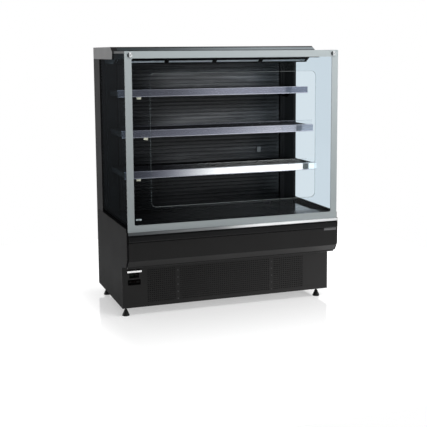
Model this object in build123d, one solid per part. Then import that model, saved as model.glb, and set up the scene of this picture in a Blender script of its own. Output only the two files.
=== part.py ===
from build123d import *
import math
import os

# Open multideck display fridge, plug-in, semi-height, with fixed front glass.
# Millimetres. +Z is up and the shopper stands at -Y. The origin is on the floor,
# under the middle of the cabinet's outer box.

# ---------------------------------------------------------------- outer box
overall_width = 1265.0
overall_height = 1500.0
cabinet_depth = 750.0          # face of the front frame to the back
bumper_proud = 18.0            # the bumper stands in front of the frame
foot_height = 50.0

half_width = overall_width / 2
front_face_y = -(cabinet_depth + bumper_proud) / 2 + bumper_proud
back_y = front_face_y + cabinet_depth

# ---------------------------------------------------------------- clearances
seat_gap = 0.3                 # between a piece and the seat it rests in
thread_clearance = 0.05        # radial, round a running shaft

# ---------------------------------------------------------------- side walls
side_skin = 10.0               # painted outer panel
side_wall = 32.5               # whole end wall, skin and insulation
column_depth = 160.0           # rear column of the end wall
side_panel_top_z = 524.0       # top of the lower side panel
arm_depth = 332.0              # end arm, forward of the rear column
arm_height = 68.0
arm_nose = 10.0                # nose of the arm, forward of its lower corner
arm_chamfer = 48.0             # slope from the nose to the top
arm_nose_drop = 28.0
right_arm_drop = 24.0          # the right-hand end is level with the frame

inner_half = half_width - side_wall
column_front_y = back_y - column_depth
arm_front_y = column_front_y - arm_depth
arm_bottom_z = overall_height - arm_height

# ---------------------------------------------------------------- front frame
frame_inset = 8.0
frame_bottom_z = 504.0
frame_drop = 24.0              # top of the frame, below the canopy's top
frame_border = 38.0
frame_thickness = 5.0
frame_corner_radius = 3.0
frame_window_radius = 9.0
frame_half = half_width - frame_inset
frame_top_z = overall_height - frame_drop
frame_back_y = front_face_y + frame_thickness
window_half = frame_half - frame_border
window_bottom_z = frame_bottom_z + frame_border
window_top_z = frame_top_z - frame_border

# ---------------------------------------------------------------- glass
front_glass_thickness = 6.0
side_glass_thickness = 6.0
glass_edge_inset = 3.0         # front glass, inside the frame's outer edge
cutout_side_margin = 98.5      # glass left between the frame and the cut-out
cutout_bottom_margin = 93.0
cutout_top_margin = 79.0
cutout_radius = 28.0
side_glass_inset = 10.0        # outer face of the side glass, inside the panel
glass_back_y = frame_back_y + front_glass_thickness
cutout_half = window_half - cutout_side_margin
cutout_bottom_z = window_bottom_z + cutout_bottom_margin
cutout_top_z = window_top_z - cutout_top_margin
side_glass_outer = half_width - side_glass_inset
side_glass_inner = side_glass_outer - side_glass_thickness

channel_base = 6.0             # under the side glass
channel_outer_leg = 13.0
channel_inner_leg = 24.0
top_trim_wall = 2.0
top_trim_height = 12.0
arm_gap = 2.0                  # side glass and its trim, in front of the arm's nose

bolt_radius = 14.0
bolt_head = 5.0
bolt_shank_radius = 5.0
bolt_side_margin = 30.0
bolt_top_margin = 20.0
bolt_hole_clearance = 0.5
clamp_size = 34.0
clamp_depth = 26.0

# ---------------------------------------------------------------- bumper, apron
trim_height = 14.0
trim_proud = 14.0
bumper_height = 40.0
apron_proud = 9.0
apron_inset = 8.0
apron_bevel_top_z = 346.0
apron_bevel_run = 39.0
apron_bevel_drop = 39.0
apron_end_z = 286.0            # top of the plinth
apron_sheet = 2.0
apron_lip_radius = 7.0
plinth_setback = 128.0
strip_half = half_width - apron_inset
apron_half = half_width - side_skin
trim_bottom_z = frame_bottom_z - trim_height
bumper_bottom_z = trim_bottom_z - bumper_height
plinth_y = front_face_y + plinth_setback
plate_width = 77.0
plate_height = 14.0
plate_thickness = 1.0
plate_margin = 4.0

# ---------------------------------------------------------------- plinth
plinth_sheet = 2.0
vent_left = 145.0              # from the left side of the cabinet
vent_width = 968.0
vent_bottom_z = 76.0
vent_slot_length = 7.5
vent_slot_height = 5.0
vent_pitch_x = 12.0
vent_pitch_z = 12.0
vent_rows = 16
plain_strips = (325.0, 901.0)  # middles of the plain strips for the screws, from the left side
plain_strip_width = 27.0

# ---------------------------------------------------------------- controls
control_centre = 70.0          # from the left side of the cabinet
hood_width = 82.0
hood_height = 16.0
hood_proud = 11.0
hood_bottom_z = 252.0
switch_plate_width = 54.0
switch_plate_height = 28.0
switch_plate_proud = 2.0
switch_gap = 3.0               # between the hood and the switch plate
rocker_width = 19.0
rocker_height = 18.0
rocker_proud = 4.8             # the rocker's ends, in front of the panel
rocker_dish = 1.4              # its middle, behind its ends
rocker_root = 3.6              # its root, behind the panel
rocker_root_height = 11.0
rocker_tilt = 9.0              # degrees each side of level
rocker_clearance = 1.6         # above and below a rocker, for its tilt
rocker_pitch = 25.0
switch_wall = 1.2
switch_depth = 20.0
controller_width = 71.0
controller_height = 29.0
controller_flange = 4.0
controller_body_depth = 58.0
controller_top_z = 210.0
key_width = 7.0
key_height = 4.5
key_proud = 1.4
key_depth = 4.0
key_pitch = 13.0
key_count = 3
key_clearance = 0.3
key_travel = 1.0

# ---------------------------------------------------------------- base
rail_size = 30.0
rail_wall = 2.5
left_rail_inset = 26.5         # rail centres, from the cabinet's sides
right_rail_inset = 56.5
front_rail_centre = 163.0      # behind the frame's face
rear_rail_centre = 640.0
tray_sheet = 2.0
foot_pad_radius = 21.0
foot_neck_radius = 7.5
foot_pad_height = 36.0
foot_waist_radius = 15.0       # halfway up the pad
foot_rim = 5.0
foot_edge = 1.0
foot_stem_radius = 5.0
foot_stem_above = 20.0         # stem inside the rail
nut_height = 8.0
nut_across_flats = 17.0

base_z = foot_height
tray_z = base_z + rail_size
tray_top_z = tray_z + tray_sheet

# ---------------------------------------------------------------- insulated body
tub_floor_z = 292.0
tub_wall = 40.0
tub_knee_setback = 60.0        # where the well's underside clears the rolled lip
tub_knee_rise = 38.0
tub_front_rise = 83.0          # foot of the well's front wall, over its floor
back_insulation = 60.0
duct_front = 195.0             # ribbed back wall, forward of the back
inner_sheet = 2.0
tub_inner_z = tub_floor_z + tub_wall
back_panel_y = back_y - back_insulation
inner_back_y = back_y - duct_front

filler_width = 95.0
rib_pitch = 22.0
rib_height = 7.0
rib_proud = 4.0
rib_margin = 24.0
canopy_depth = 95.0            # top of the canopy to its underside
liner_z = overall_height - canopy_depth

# ---------------------------------------------------------------- shelf uprights
upright_width = 28.0
upright_depth = 12.0
upright_sheet = 2.0
slot_pitch = 25.0
slot_height = 15.0
slot_width = 5.0
slots_per_upright = 32
first_slot_z = 588.0           # bottom of the lowest slot
upright_margin = 8.0
filler_inner = inner_half - filler_width
upright_centre = filler_inner + upright_width / 2
upright_front_y = inner_back_y - upright_depth

# ---------------------------------------------------------------- shelves
shelf_half = 587.0
shelf_names = ("top", "middle", "bottom")
shelf_front = {"top": 322.0, "middle": 243.0, "bottom": 192.0}   # behind the frame's face
shelf_slot = {"top": 26, "middle": 17, "bottom": 8}              # slot of the upper hook
riser_height = {"top": 0.0, "middle": 26.0, "bottom": 26.0}
connector_x = {"top": -463.0, "middle": -448.0, "bottom": -507.0}
shelf_sheet = 1.5
shelf_lip = 30.0
shelf_back_gap = 12.0          # for the air, between the shelf and the uprights
rail_height = 41.0
rail_sheet = 2.0
rail_top_lip = 14.0
rail_bottom_lip = 10.0
rail_above_shelf = 5.0
bracket_sheet = 3.0
bracket_back_height = 62.0
bracket_front_height = 22.0
bracket_short = 60.0           # the bracket stops this far behind the rail
bracket_hooks = 2
hook_height = 8.0
hook_drop = 5.0
hook_sheet = 4.0
hook_clearance = 0.4
slot_seat = 0.5                # hook above the bottom of its slot
shelf_above_slot = 16.0        # shelf surface over the bottom of its upper slot
riser_sheet = 3.0
lamp_height = 9.0
lamp_depth = 16.0
lamp_end_margin = 40.0
connector_size = 14.0
connector_length = 24.0

# ---------------------------------------------------------------- deck
deck_z = 528.0
deck_sheet = 2.0
deck_lip = 16.0
deck_middle_gap = 2.0
deck_side_gap = 1.5
grille_rise = 3.0              # top of the return-air grille, over the trays
grille_depth = 156.0
grille_sheet = 2.0
grille_front_gap = 4.0
grille_slot_length = 22.0
grille_slot_width = 5.0
grille_pitch_x = 28.0
grille_pitch_y = 11.0
grille_rows = 11
grille_margin = 16.0
ledge_width = 14.0             # support ledges for the trays
tray_seat_z = deck_z - deck_lip
grille_z = deck_z + grille_rise

# ---------------------------------------------------------------- canopy
canopy_sheet = 2.0
canopy_insulation = 46.0
canopy_front = 296.0           # top front corner, behind the frame's face
nose_forward = 40.0
nose_top_drop = 20.0
nose_height = 18.0
lip_back = 64.0
lip_drop = 27.0
discharge_width = 1172.0
discharge_run = 46.0
discharge_drop = 25.0
discharge_depth = 14.0
honeycomb_depth = 9.0
outlet_flange = 20.0
discharge_panels = 4
divider_width = 9.0

# ---------------------------------------------------------------- refrigeration
evaporator_length = 960.0
evaporator_depth = 210.0
evaporator_height = 130.0
evaporator_front = 330.0       # behind the frame's face
fin_count = 24
fin_sheet = 1.2
coil_tube_radius = 5.0
fan_plate_setback = 250.0
fan_plate_sheet = 2.0
fan_radius = 62.0
fan_ring_gap = 4.0
fan_blades = 5
blade_sheet = 2.0
blade_pitch = 28.0             # degrees
fan_hub_radius = 20.0
fan_hub_depth = 24.0
fan_shaft_radius = 4.0
motor_radius = 26.0
motor_depth = 44.0
motor_arm = 6.0                # section of the arms that carry a motor
evaporator_fan_x = 260.0
condenser_x = -330.0
condenser_width = 300.0
condenser_height = 170.0
condenser_depth = 60.0
condenser_setback = 152.0
condenser_fan_gap = 36.0       # shroud depth, coil to motor plate
condenser_fins = 26
compressor_x = 60.0
compressor_setback = 420.0
compressor_radius = 82.0
compressor_height = 165.0
compressor_foot = 8.0
pipe_radius = 5.0
discharge_side_run = 40.0      # out of the compressor's side
discharge_bend = 16.0
suction_rise = 22.0            # over the compressor's top
suction_side_run = 60.0
suction_bend = 9.0
pan_x = 400.0
pan_width = 260.0
pan_depth = 260.0
pan_height = 48.0
pan_wall = 2.0
drain_radius = 12.0
drain_bore = 10.0
drain_dip = 10.0               # the drain's end, below the pan's rim
box_x = -500.0
box_width = 110.0
box_depth = 150.0
box_height = 130.0
box_setback = 250.0
rear_vent_rows = 8
rear_vent_columns = 30
rear_vent_length = 19.0
rear_vent_height = 6.0
rear_vent_pitch_x = 24.0
rear_vent_pitch_z = 18.0
rear_vent_bottom_z = 94.0
gland_radius = 14.0
gland_length = 16.0
gland_bore = 5.0
screw_radius = 4.0
screw_head = 2.0
screw_first_z = 79.0
screw_pitch = 41.5
screw_count = 5

thermometer_x = 360.0
thermometer_z = 862.0
thermometer_width = 24.0
thermometer_height = 32.0
thermometer_depth = 9.0


# ---------------------------------------------------------------- helpers
def block(x0, x1, y0, y1, z0, z1):
    """A box between two corners."""
    centre = Pos((x0 + x1) / 2, (y0 + y1) / 2, (z0 + z1) / 2)
    return centre * Box(x1 - x0, y1 - y0, z1 - z0)


def across(points, x0, x1):
    """A closed outline of (y, z) points, drawn out from x0 to x1."""
    face = Plane.YZ.offset(x0) * make_face(Polyline(*points, close=True))
    return extrude(face, amount=x1 - x0)


def folded(points, sheet):
    """The closed outline of a sheet folded along the points, thickened to the left of its path."""
    edges = [Vector(*b) - Vector(*a) for a, b in zip(points, points[1:])]
    normals = [Vector(-e.Y, e.X).normalized() for e in edges]
    inner = []
    for i, point in enumerate(points):
        before = normals[max(i - 1, 0)]
        after = normals[min(i, len(normals) - 1)]
        middle = (before + after).normalized()
        reach = sheet / middle.dot(before)
        inner.append((point[0] + middle.X * reach, point[1] + middle.Y * reach))
    return list(points) + inner[::-1]


def rod(x, y, z, radius, length, direction=(0, 0, 1)):
    """A cylinder that starts at a point and runs along a direction."""
    plane = Plane(origin=(x, y, z), z_dir=direction)
    return extrude(plane * Circle(radius), amount=length)


def upright_slab(width, height, radius, x, z, y0, depth):
    """A rounded rectangle that faces the front, drawn back from y0."""
    plane = Plane(origin=(x, y0, z), x_dir=(1, 0, 0), z_dir=(0, -1, 0))
    return extrude(plane * RectangleRounded(width, height, radius), amount=-depth)


def save(name, *solids):
    """One STEP file for each named piece or group of like pieces."""
    flat = [solid for item in solids for solid in item.solids()]
    shape = flat[0] if len(flat) == 1 else Compound(children=flat)
    export_step(shape, f"parts/{name}.step")


def behind(distance):
    """The y of a place behind the front frame's face."""
    return front_face_y + distance


# ---------------------------------------------------------------- base and feet
left_rail_x = -half_width + left_rail_inset
right_rail_x = half_width - right_rail_inset
front_rail_y = behind(front_rail_centre)
rear_rail_y = behind(rear_rail_centre)
skin_inner = half_width - side_skin
foot_places = {
    "foot_front_left": (left_rail_x, front_rail_y),
    "foot_front_right": (right_rail_x, front_rail_y),
    "foot_rear_left": (left_rail_x, rear_rail_y),
    "foot_rear_right": (right_rail_x, rear_rail_y),
}


def cross_rail(y):
    """A square tube from side to side, with a plug at each threaded foot hole."""
    half = rail_size / 2
    tube = block(-skin_inner, skin_inner, y - half, y + half, base_z, tray_z)
    inner = half - rail_wall
    tube -= block(-skin_inner, skin_inner, y - inner, y + inner, base_z + rail_wall, tray_z - rail_wall)
    for x in (left_rail_x, right_rail_x):
        tube += block(x - half, x + half, y - inner, y + inner, base_z + rail_wall, tray_z - rail_wall)
        tube -= rod(x, y, base_z - 1, foot_stem_radius + thread_clearance, foot_stem_above + 2)
    return tube


def long_rail(x):
    """A square tube from the front cross rail to the rear one."""
    half = rail_size / 2
    y0 = front_rail_y + half
    y1 = rear_rail_y - half
    tube = block(x - half, x + half, y0, y1, base_z, tray_z)
    inner = half - rail_wall
    return tube - block(x - inner, x + inner, y0, y1, base_z + rail_wall, tray_z - rail_wall)


def foot(x, y):
    """A bell-shaped pad with its threaded stem, and the lock nut under the rail."""
    neck_z = foot_pad_height
    bell = Polyline(
        (0, 0),
        (foot_pad_radius - foot_edge, 0),
        (foot_pad_radius, foot_edge),
        (foot_pad_radius, foot_rim),
    )
    side = Spline(
        (foot_pad_radius, foot_rim),
        (foot_waist_radius, foot_pad_height / 2),
        (foot_neck_radius, neck_z),
    )
    top = Polyline((foot_neck_radius, neck_z), (0, neck_z), (0, 0))
    pad = revolve(Plane.XZ * make_face(bell + side + top), Axis.Z)
    stem = rod(0, 0, neck_z, foot_stem_radius, base_z + foot_stem_above - neck_z)
    nut_top = base_z - seat_gap
    plane = Plane(origin=(0, 0, nut_top - nut_height))
    hexagon = RegularPolygon(nut_across_flats / 2, 6, major_radius=False)
    nut = extrude(plane * hexagon, amount=nut_height)
    nut -= rod(0, 0, neck_z, foot_stem_radius + thread_clearance, foot_height)
    return Pos(x, y, 0) * Compound(children=[pad + stem, nut])


# ---------------------------------------------------------------- end walls
apron_step_z = apron_bevel_top_z + apron_proud    # the side panels step back below this


def lower_side_panel(side):
    """The painted lower side, stepped back over the plinth as the apron is."""
    y_plinth = plinth_y + plinth_sheet
    y_bevel = behind(apron_bevel_run - apron_proud)
    outline = [
        (y_plinth, base_z),
        (y_plinth, apron_end_z),
        (y_bevel, apron_bevel_top_z - apron_bevel_drop),
        (front_face_y, apron_step_z),
        (front_face_y, frame_bottom_z),
        (glass_back_y, frame_bottom_z),
        (glass_back_y, side_panel_top_z),
        (back_y, side_panel_top_z),
        (back_y, base_z),
    ]
    xs = sorted((side * skin_inner, side * half_width))
    return across(outline, *xs)


def end_column(side, top_drop):
    """The rear column of an end wall with the arm that closes the canopy's end."""
    nose_y = arm_front_y - arm_nose
    outline = [
        (back_y, side_panel_top_z),
        (column_front_y, side_panel_top_z),
        (column_front_y, arm_bottom_z),
        (arm_front_y, arm_bottom_z),
        (nose_y, overall_height - arm_nose_drop),
        (nose_y + arm_chamfer, overall_height),
        (back_y, overall_height),
    ]
    xs = sorted((side * inner_half, side * half_width))
    column = across(outline, *xs)
    if top_drop > 0:
        column -= block(
            xs[0] - 1, xs[1] + 1, nose_y - 1, back_y + 1,
            overall_height - top_drop, overall_height + 1,
        )
    return column


def insulated_tub():
    """The cold well: its foamed floor and front wall in one, and a slab in each side wall."""
    underside = [
        (back_panel_y, tub_floor_z),
        (plinth_y + plinth_sheet, tub_floor_z),
        (behind(tub_knee_setback), tub_floor_z + tub_knee_rise),
        (front_face_y, tub_floor_z + tub_front_rise),
        (front_face_y, frame_bottom_z),
        (glass_back_y, frame_bottom_z),
    ]
    shell = [
        (glass_back_y, tray_seat_z),
        (glass_back_y + tub_wall, tray_seat_z),
        (glass_back_y + tub_wall, tub_floor_z + tub_front_rise),
        (plinth_y + plinth_sheet + tub_wall / 2, tub_inner_z),
        (back_panel_y, tub_inner_z),
    ]
    side_slab = [
        (glass_back_y, side_panel_top_z),
        (back_panel_y, side_panel_top_z),
    ]
    return [
        across(underside + shell, -inner_half, inner_half),
        across(underside + side_slab, inner_half, skin_inner),
        across(underside + side_slab, -skin_inner, -inner_half),
    ]


# ---------------------------------------------------------------- front frame, glass
def bolt_places():
    """The corner bolts' places on the frame."""
    z = frame_top_z - bolt_top_margin
    return [(side * (frame_half - bolt_side_margin), z) for side in (-1, 1)]


def framed_plate(half, bottom, top, radius, y0, depth):
    """A rounded plate that faces the front, with the corner bolts' holes."""
    plate = upright_slab(2 * half, top - bottom, radius, 0, (top + bottom) / 2, y0, depth)
    for x, z in bolt_places():
        hole_radius = bolt_shank_radius + bolt_hole_clearance
        plate -= rod(x, y0 - 1, z, hole_radius, depth + 2, (0, 1, 0))
    return plate


def front_frame():
    """The flat border round the front glass."""
    plate = framed_plate(
        frame_half, frame_bottom_z, frame_top_z, frame_corner_radius, front_face_y, frame_thickness
    )
    height = window_top_z - window_bottom_z
    centre_z = (window_top_z + window_bottom_z) / 2
    return plate - upright_slab(
        2 * window_half, height, frame_window_radius, 0, centre_z, front_face_y - 1, frame_thickness + 2
    )


def front_glass():
    """The fixed front pane, with the big rounded opening that the shopper reaches through."""
    pane = framed_plate(
        frame_half - glass_edge_inset,
        frame_bottom_z,
        frame_top_z - glass_edge_inset,
        frame_corner_radius,
        frame_back_y,
        front_glass_thickness,
    )
    height = cutout_top_z - cutout_bottom_z
    centre_z = (cutout_top_z + cutout_bottom_z) / 2
    return pane - upright_slab(
        2 * cutout_half, height, cutout_radius, 0, centre_z, frame_back_y - 1, front_glass_thickness + 2
    )


def bolt(x, z):
    """A round dome-headed bolt through the frame and the glass."""
    head = rod(x, front_face_y, z, bolt_radius, bolt_head, (0, -1, 0))
    head = fillet(head.faces().sort_by(Axis.Y)[0].edges(), bolt_head * 0.6)
    shank = frame_thickness + front_glass_thickness + clamp_depth * 0.5
    return head + rod(x, front_face_y, z, bolt_shank_radius, shank, (0, 1, 0))


def corner_clamp(x, z):
    """The block behind the glass that the bolt pulls up on, beside the side glass."""
    side = math.copysign(1, x)
    inner_x = x - side * clamp_size / 2
    outer_x = side * (side_glass_inner - seat_gap)
    half = clamp_size / 2
    body = block(
        *sorted((inner_x, outer_x)),
        glass_back_y, glass_back_y + clamp_depth,
        z - half, min(z + half, frame_top_z - top_trim_height - seat_gap),
    )
    hole_radius = bolt_shank_radius + thread_clearance
    return body - rod(x, glass_back_y - 1, z, hole_radius, clamp_depth * 0.5 + 2, (0, 1, 0))


def side_glass(side):
    """A side pane, notched under the canopy's end arm."""
    bottom = side_panel_top_z + channel_base
    top = frame_top_z - top_trim_wall
    notch_y = arm_front_y - arm_nose - arm_gap
    outline = [
        (glass_back_y, bottom),
        (glass_back_y, top),
        (notch_y, top),
        (notch_y, arm_bottom_z),
        (column_front_y, arm_bottom_z),
        (column_front_y, bottom),
    ]
    xs = sorted((side * side_glass_inner, side * side_glass_outer))
    return across(outline, *xs)


def bottom_channel(side):
    """The black rail that the side glass stands in."""
    base = block(
        *sorted((side * inner_half, side * half_width)),
        glass_back_y, column_front_y, side_panel_top_z, side_panel_top_z + channel_base,
    )
    outer = block(
        *sorted((side * side_glass_outer, side * half_width)),
        glass_back_y, column_front_y, side_panel_top_z + channel_base, side_panel_top_z + channel_outer_leg,
    )
    inner = block(
        *sorted((side * inner_half, side * side_glass_inner)),
        glass_back_y, column_front_y, side_panel_top_z + channel_base, side_panel_top_z + channel_inner_leg,
    )
    return base + outer + inner


def top_trim(side):
    """The light channel over the free top edge of the side glass."""
    y0 = glass_back_y
    y1 = arm_front_y - arm_nose - arm_gap
    outer_x = side_glass_outer + top_trim_wall
    inner_x = side_glass_inner - top_trim_wall
    body = block(
        *sorted((side * inner_x, side * outer_x)),
        y0, y1, frame_top_z - top_trim_height, frame_top_z,
    )
    groove = block(
        *sorted((side * side_glass_inner, side * side_glass_outer)),
        y0 - 1, y1 + 1, frame_top_z - top_trim_height - 1, frame_top_z - top_trim_wall,
    )
    return body - groove


# ---------------------------------------------------------------- bumper and apron
def bright_trim():
    """The rounded bright strip right under the frame."""
    y0 = front_face_y - trim_proud
    strip = block(-strip_half, strip_half, y0, front_face_y, trim_bottom_z, frame_bottom_z)
    edges = strip.edges().filter_by(Axis.X).group_by(Axis.Y)[0]
    return fillet(edges, trim_height * 0.4)


def bumper_rail():
    """The soft black rail that trolleys run against."""
    y0 = front_face_y - bumper_proud
    strip = block(-strip_half, strip_half, y0, front_face_y, bumper_bottom_z, trim_bottom_z)
    edges = strip.edges().filter_by(Axis.X).group_by(Axis.Y)[0]
    return fillet(edges, bumper_height * 0.22)


def apron_points():
    """The apron's outer fold line, from under the bumper to the plinth."""
    face_y = front_face_y - apron_proud
    bevel_y = face_y + apron_bevel_run
    bevel_z = apron_bevel_top_z - apron_bevel_drop
    return [
        (front_face_y, bumper_bottom_z),
        (face_y, bumper_bottom_z),
        (face_y, apron_bevel_top_z),
        (bevel_y, bevel_z),
        (plinth_y, apron_end_z),
    ]


def apron_panel():
    """The folded front panel, its closed ends and the rolled lip under its bevel."""
    points = apron_points()
    shell = across(folded(points, apron_sheet), -apron_half, apron_half)
    bevel_y, bevel_z = points[3]
    lip_z = bevel_z - apron_lip_radius * 0.3
    lip = rod(-apron_half, bevel_y + apron_lip_radius, lip_z, apron_lip_radius, 2 * apron_half, (1, 0, 0))
    end_outline = points[:4] + [(front_face_y, apron_step_z)]
    ends = [
        across(end_outline, x, x + apron_sheet)
        for x in (-apron_half, apron_half - apron_sheet)
    ]
    return shell + lip + ends


def blank_plate():
    """The small plain plate at the right of the apron."""
    x1 = apron_half - plate_margin
    face_y = front_face_y - apron_proud
    z1 = bumper_bottom_z - plate_margin / 4
    return block(x1 - plate_width, x1, face_y - plate_thickness, face_y, z1 - plate_height, z1)


# ---------------------------------------------------------------- plinth, controls
control_x = -half_width + control_centre
switch_top_z = hood_bottom_z - switch_gap
switch_centre_z = switch_top_z - switch_plate_height / 2
controller_centre_z = controller_top_z - controller_height / 2
rocker_x = {
    "main_switch": control_x - rocker_pitch / 2,
    "light_switch": control_x + rocker_pitch / 2,
}
key_z = controller_centre_z - controller_height * 0.28
key_y = plinth_y - controller_flange


def controller_cut(clearance=0.0):
    """The body of the controller, behind its flange."""
    half_x = controller_width / 2 - controller_flange + clearance
    half_z = controller_height / 2 - controller_flange * 0.5 + clearance
    return block(
        control_x - half_x, control_x + half_x,
        plinth_y, plinth_y + controller_body_depth,
        controller_centre_z - half_z, controller_centre_z + half_z,
    )


def plinth_panel():
    """The lower front panel, with rows of vent slots and the control cut-outs."""
    panel = block(-half_width, half_width, plinth_y, plinth_y + plinth_sheet, base_z, apron_end_z)
    columns = int(vent_width // vent_pitch_x)
    slots = []
    for column in range(columns):
        from_left = vent_left + vent_pitch_x * (column + 0.5)
        if any(abs(from_left - strip) < plain_strip_width / 2 for strip in plain_strips):
            continue
        x = -half_width + from_left
        for row in range(vent_rows):
            z = vent_bottom_z + vent_pitch_z * row
            slots.append(
                block(
                    x - vent_slot_length / 2, x + vent_slot_length / 2,
                    plinth_y - 1, plinth_y + plinth_sheet + 1,
                    z, z + vent_slot_height,
                )
            )
    panel = panel.cut(*slots)
    switch_hole = switch_block(switch_wall + seat_gap, plinth_y - 1, plinth_y + plinth_sheet + 1)
    return panel - switch_hole - controller_cut(seat_gap)


def switch_block(wall, y0, y1):
    """The space of the two rockers with a wall round it, drawn between two depths."""
    half_x = rocker_pitch / 2 + rocker_width / 2 + seat_gap + wall
    half_z = rocker_height / 2 + rocker_clearance + wall
    return block(
        control_x - half_x, control_x + half_x,
        y0, y1, switch_centre_z - half_z, switch_centre_z + half_z,
    )


def control_hood():
    """The bright bar over the controls."""
    half = hood_width / 2
    bar = block(
        control_x - half, control_x + half,
        plinth_y - hood_proud, plinth_y,
        hood_bottom_z, hood_bottom_z + hood_height,
    )
    edges = bar.edges().filter_by(Axis.X).group_by(Axis.Y)[0]
    return fillet(edges, hood_height * 0.3)


def switch_plate():
    """The black plate and housing of the two rocker switches."""
    half = switch_plate_width / 2
    plate = block(
        control_x - half, control_x + half,
        plinth_y - switch_plate_proud, plinth_y,
        switch_top_z - switch_plate_height, switch_top_z,
    )
    housing = plate + switch_block(switch_wall, plinth_y, plinth_y + switch_depth)
    for x in rocker_x.values():
        half_x = rocker_width / 2 + seat_gap
        half_z = rocker_height / 2 + rocker_clearance
        housing -= block(
            x - half_x, x + half_x,
            plinth_y - switch_plate_proud - 1, plinth_y + switch_depth - switch_wall,
            switch_centre_z - half_z, switch_centre_z + half_z,
        )
    return housing


def rocker(x):
    """A rocker with its top pressed in, turning on a pin across its middle."""
    half = rocker_height / 2
    pivot_y = plinth_y
    outline = [
        (pivot_y - rocker_proud, -half),
        (pivot_y - rocker_proud + rocker_dish, 0),
        (pivot_y - rocker_proud, half),
        (pivot_y + rocker_root, rocker_root_height / 2),
        (pivot_y + rocker_root, -rocker_root_height / 2),
    ]
    body = across(outline, x - rocker_width / 2, x + rocker_width / 2)
    body = Pos(0, 0, switch_centre_z) * body
    return body.rotate(Axis((0, pivot_y, switch_centre_z), (1, 0, 0)), -rocker_tilt)


def key_x(index):
    """Where a key of the controller stands."""
    return control_x + (index - (key_count - 1) / 2) * key_pitch


def controller_case():
    """The panel controller: a flange, a body through the panel and a pocket for each key."""
    half_x = controller_width / 2
    flange = block(
        control_x - half_x, control_x + half_x,
        plinth_y - controller_flange, plinth_y,
        controller_top_z - controller_height, controller_top_z,
    )
    case = flange + controller_cut()
    for index in range(key_count):
        half_w = key_width / 2 + key_clearance
        half_h = key_height / 2 + key_clearance
        x = key_x(index)
        case -= block(
            x - half_w, x + half_w,
            key_y - 1, key_y + key_depth + key_travel + key_clearance,
            key_z - half_h, key_z + half_h,
        )
    return case


def controller_key(index):
    """A sprung key of the controller."""
    x = key_x(index)
    return block(
        x - key_width / 2, x + key_width / 2,
        key_y - key_proud, key_y + key_depth,
        key_z - key_height / 2, key_z + key_height / 2,
    )


# ---------------------------------------------------------------- back walls
def inner_back_panel():
    """The back wall of the display space, pressed with level ribs."""
    x1 = filler_inner - seat_gap
    wall = block(-x1, x1, inner_back_y, inner_back_y + inner_sheet, deck_z, liner_z)
    ribs = []
    z = deck_z + rib_margin
    while z + rib_height < liner_z - rib_margin:
        outline = [
            (inner_back_y, z),
            (inner_back_y - rib_proud, z + rib_height * 0.35),
            (inner_back_y - rib_proud, z + rib_height * 0.65),
            (inner_back_y, z + rib_height),
        ]
        ribs.append(across(outline, -x1 + rib_margin, x1 - rib_margin))
        z += rib_pitch
    wall = wall.fuse(*ribs)
    pocket = block(
        thermometer_x - thermometer_width / 2 - seat_gap,
        thermometer_x + thermometer_width / 2 + seat_gap,
        inner_back_y - rib_proud - 1, inner_back_y,
        thermometer_z - thermometer_height / 2 - seat_gap,
        thermometer_z + thermometer_height / 2 + seat_gap,
    )
    return wall - pocket


def corner_filler(side):
    """The post that closes the corner between the back wall and the end wall."""
    xs = sorted((side * filler_inner, side * inner_half))
    return block(*xs, inner_back_y, back_panel_y, tub_inner_z, liner_z)


def shelf_upright(side):
    """A slotted channel on the corner post, for the shelf brackets' hooks."""
    half = upright_width / 2
    x = side * upright_centre
    z0 = deck_z + upright_margin
    z1 = liner_z - upright_margin
    strip = block(x - half, x + half, upright_front_y, inner_back_y, z0, z1)
    inner = half - upright_sheet
    strip -= block(x - inner, x + inner, upright_front_y + upright_sheet, inner_back_y, z0, z1)
    slots = []
    for index in range(slots_per_upright):
        z = first_slot_z + slot_pitch * index
        slots.append(
            block(
                x - slot_width / 2, x + slot_width / 2,
                upright_front_y - 1, upright_front_y + upright_sheet + 1,
                z, z + slot_height,
            )
        )
    return strip.cut(*slots)


def thermometer():
    """The small temperature sensor housing on the back wall."""
    half_x = thermometer_width / 2
    half_z = thermometer_height / 2
    body = block(
        thermometer_x - half_x, thermometer_x + half_x,
        inner_back_y - thermometer_depth, inner_back_y,
        thermometer_z - half_z, thermometer_z + half_z,
    )
    return fillet(body.edges().filter_by(Axis.Y), thermometer_width * 0.15)


# ---------------------------------------------------------------- shelves
def shelf_level(name):
    """The height of a shelf's surface, set by the slot that its upper hook sits in."""
    return first_slot_z + slot_pitch * shelf_slot[name] + shelf_above_slot


def rail_span(name):
    """Bottom and top of a shelf's price rail."""
    top = shelf_level(name) + rail_above_shelf
    return top - rail_height, top


def shelf_panel(name):
    """A folded shelf with its two hooked brackets."""
    top_z = shelf_level(name)
    y0 = behind(shelf_front[name]) + rail_sheet
    y1 = upright_front_y - shelf_back_gap
    tray = block(-shelf_half, shelf_half, y0, y1, top_z - shelf_lip, top_z)
    tray -= block(
        -shelf_half + shelf_sheet, shelf_half - shelf_sheet,
        y0 + shelf_sheet, y1 - shelf_sheet,
        top_z - shelf_lip - 1, top_z - shelf_sheet,
    )
    brackets = [shelf_bracket(name, side, y0, y1) for side in (-1, 1)]
    cuts = [
        block(
            side * upright_centre - bracket_sheet / 2 - seat_gap,
            side * upright_centre + bracket_sheet / 2 + seat_gap,
            y1 - shelf_sheet - 1, y1 + 1, top_z - shelf_lip - 1, top_z - shelf_sheet,
        )
        for side in (-1, 1)
    ]
    return [tray.cut(*cuts)] + brackets


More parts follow.
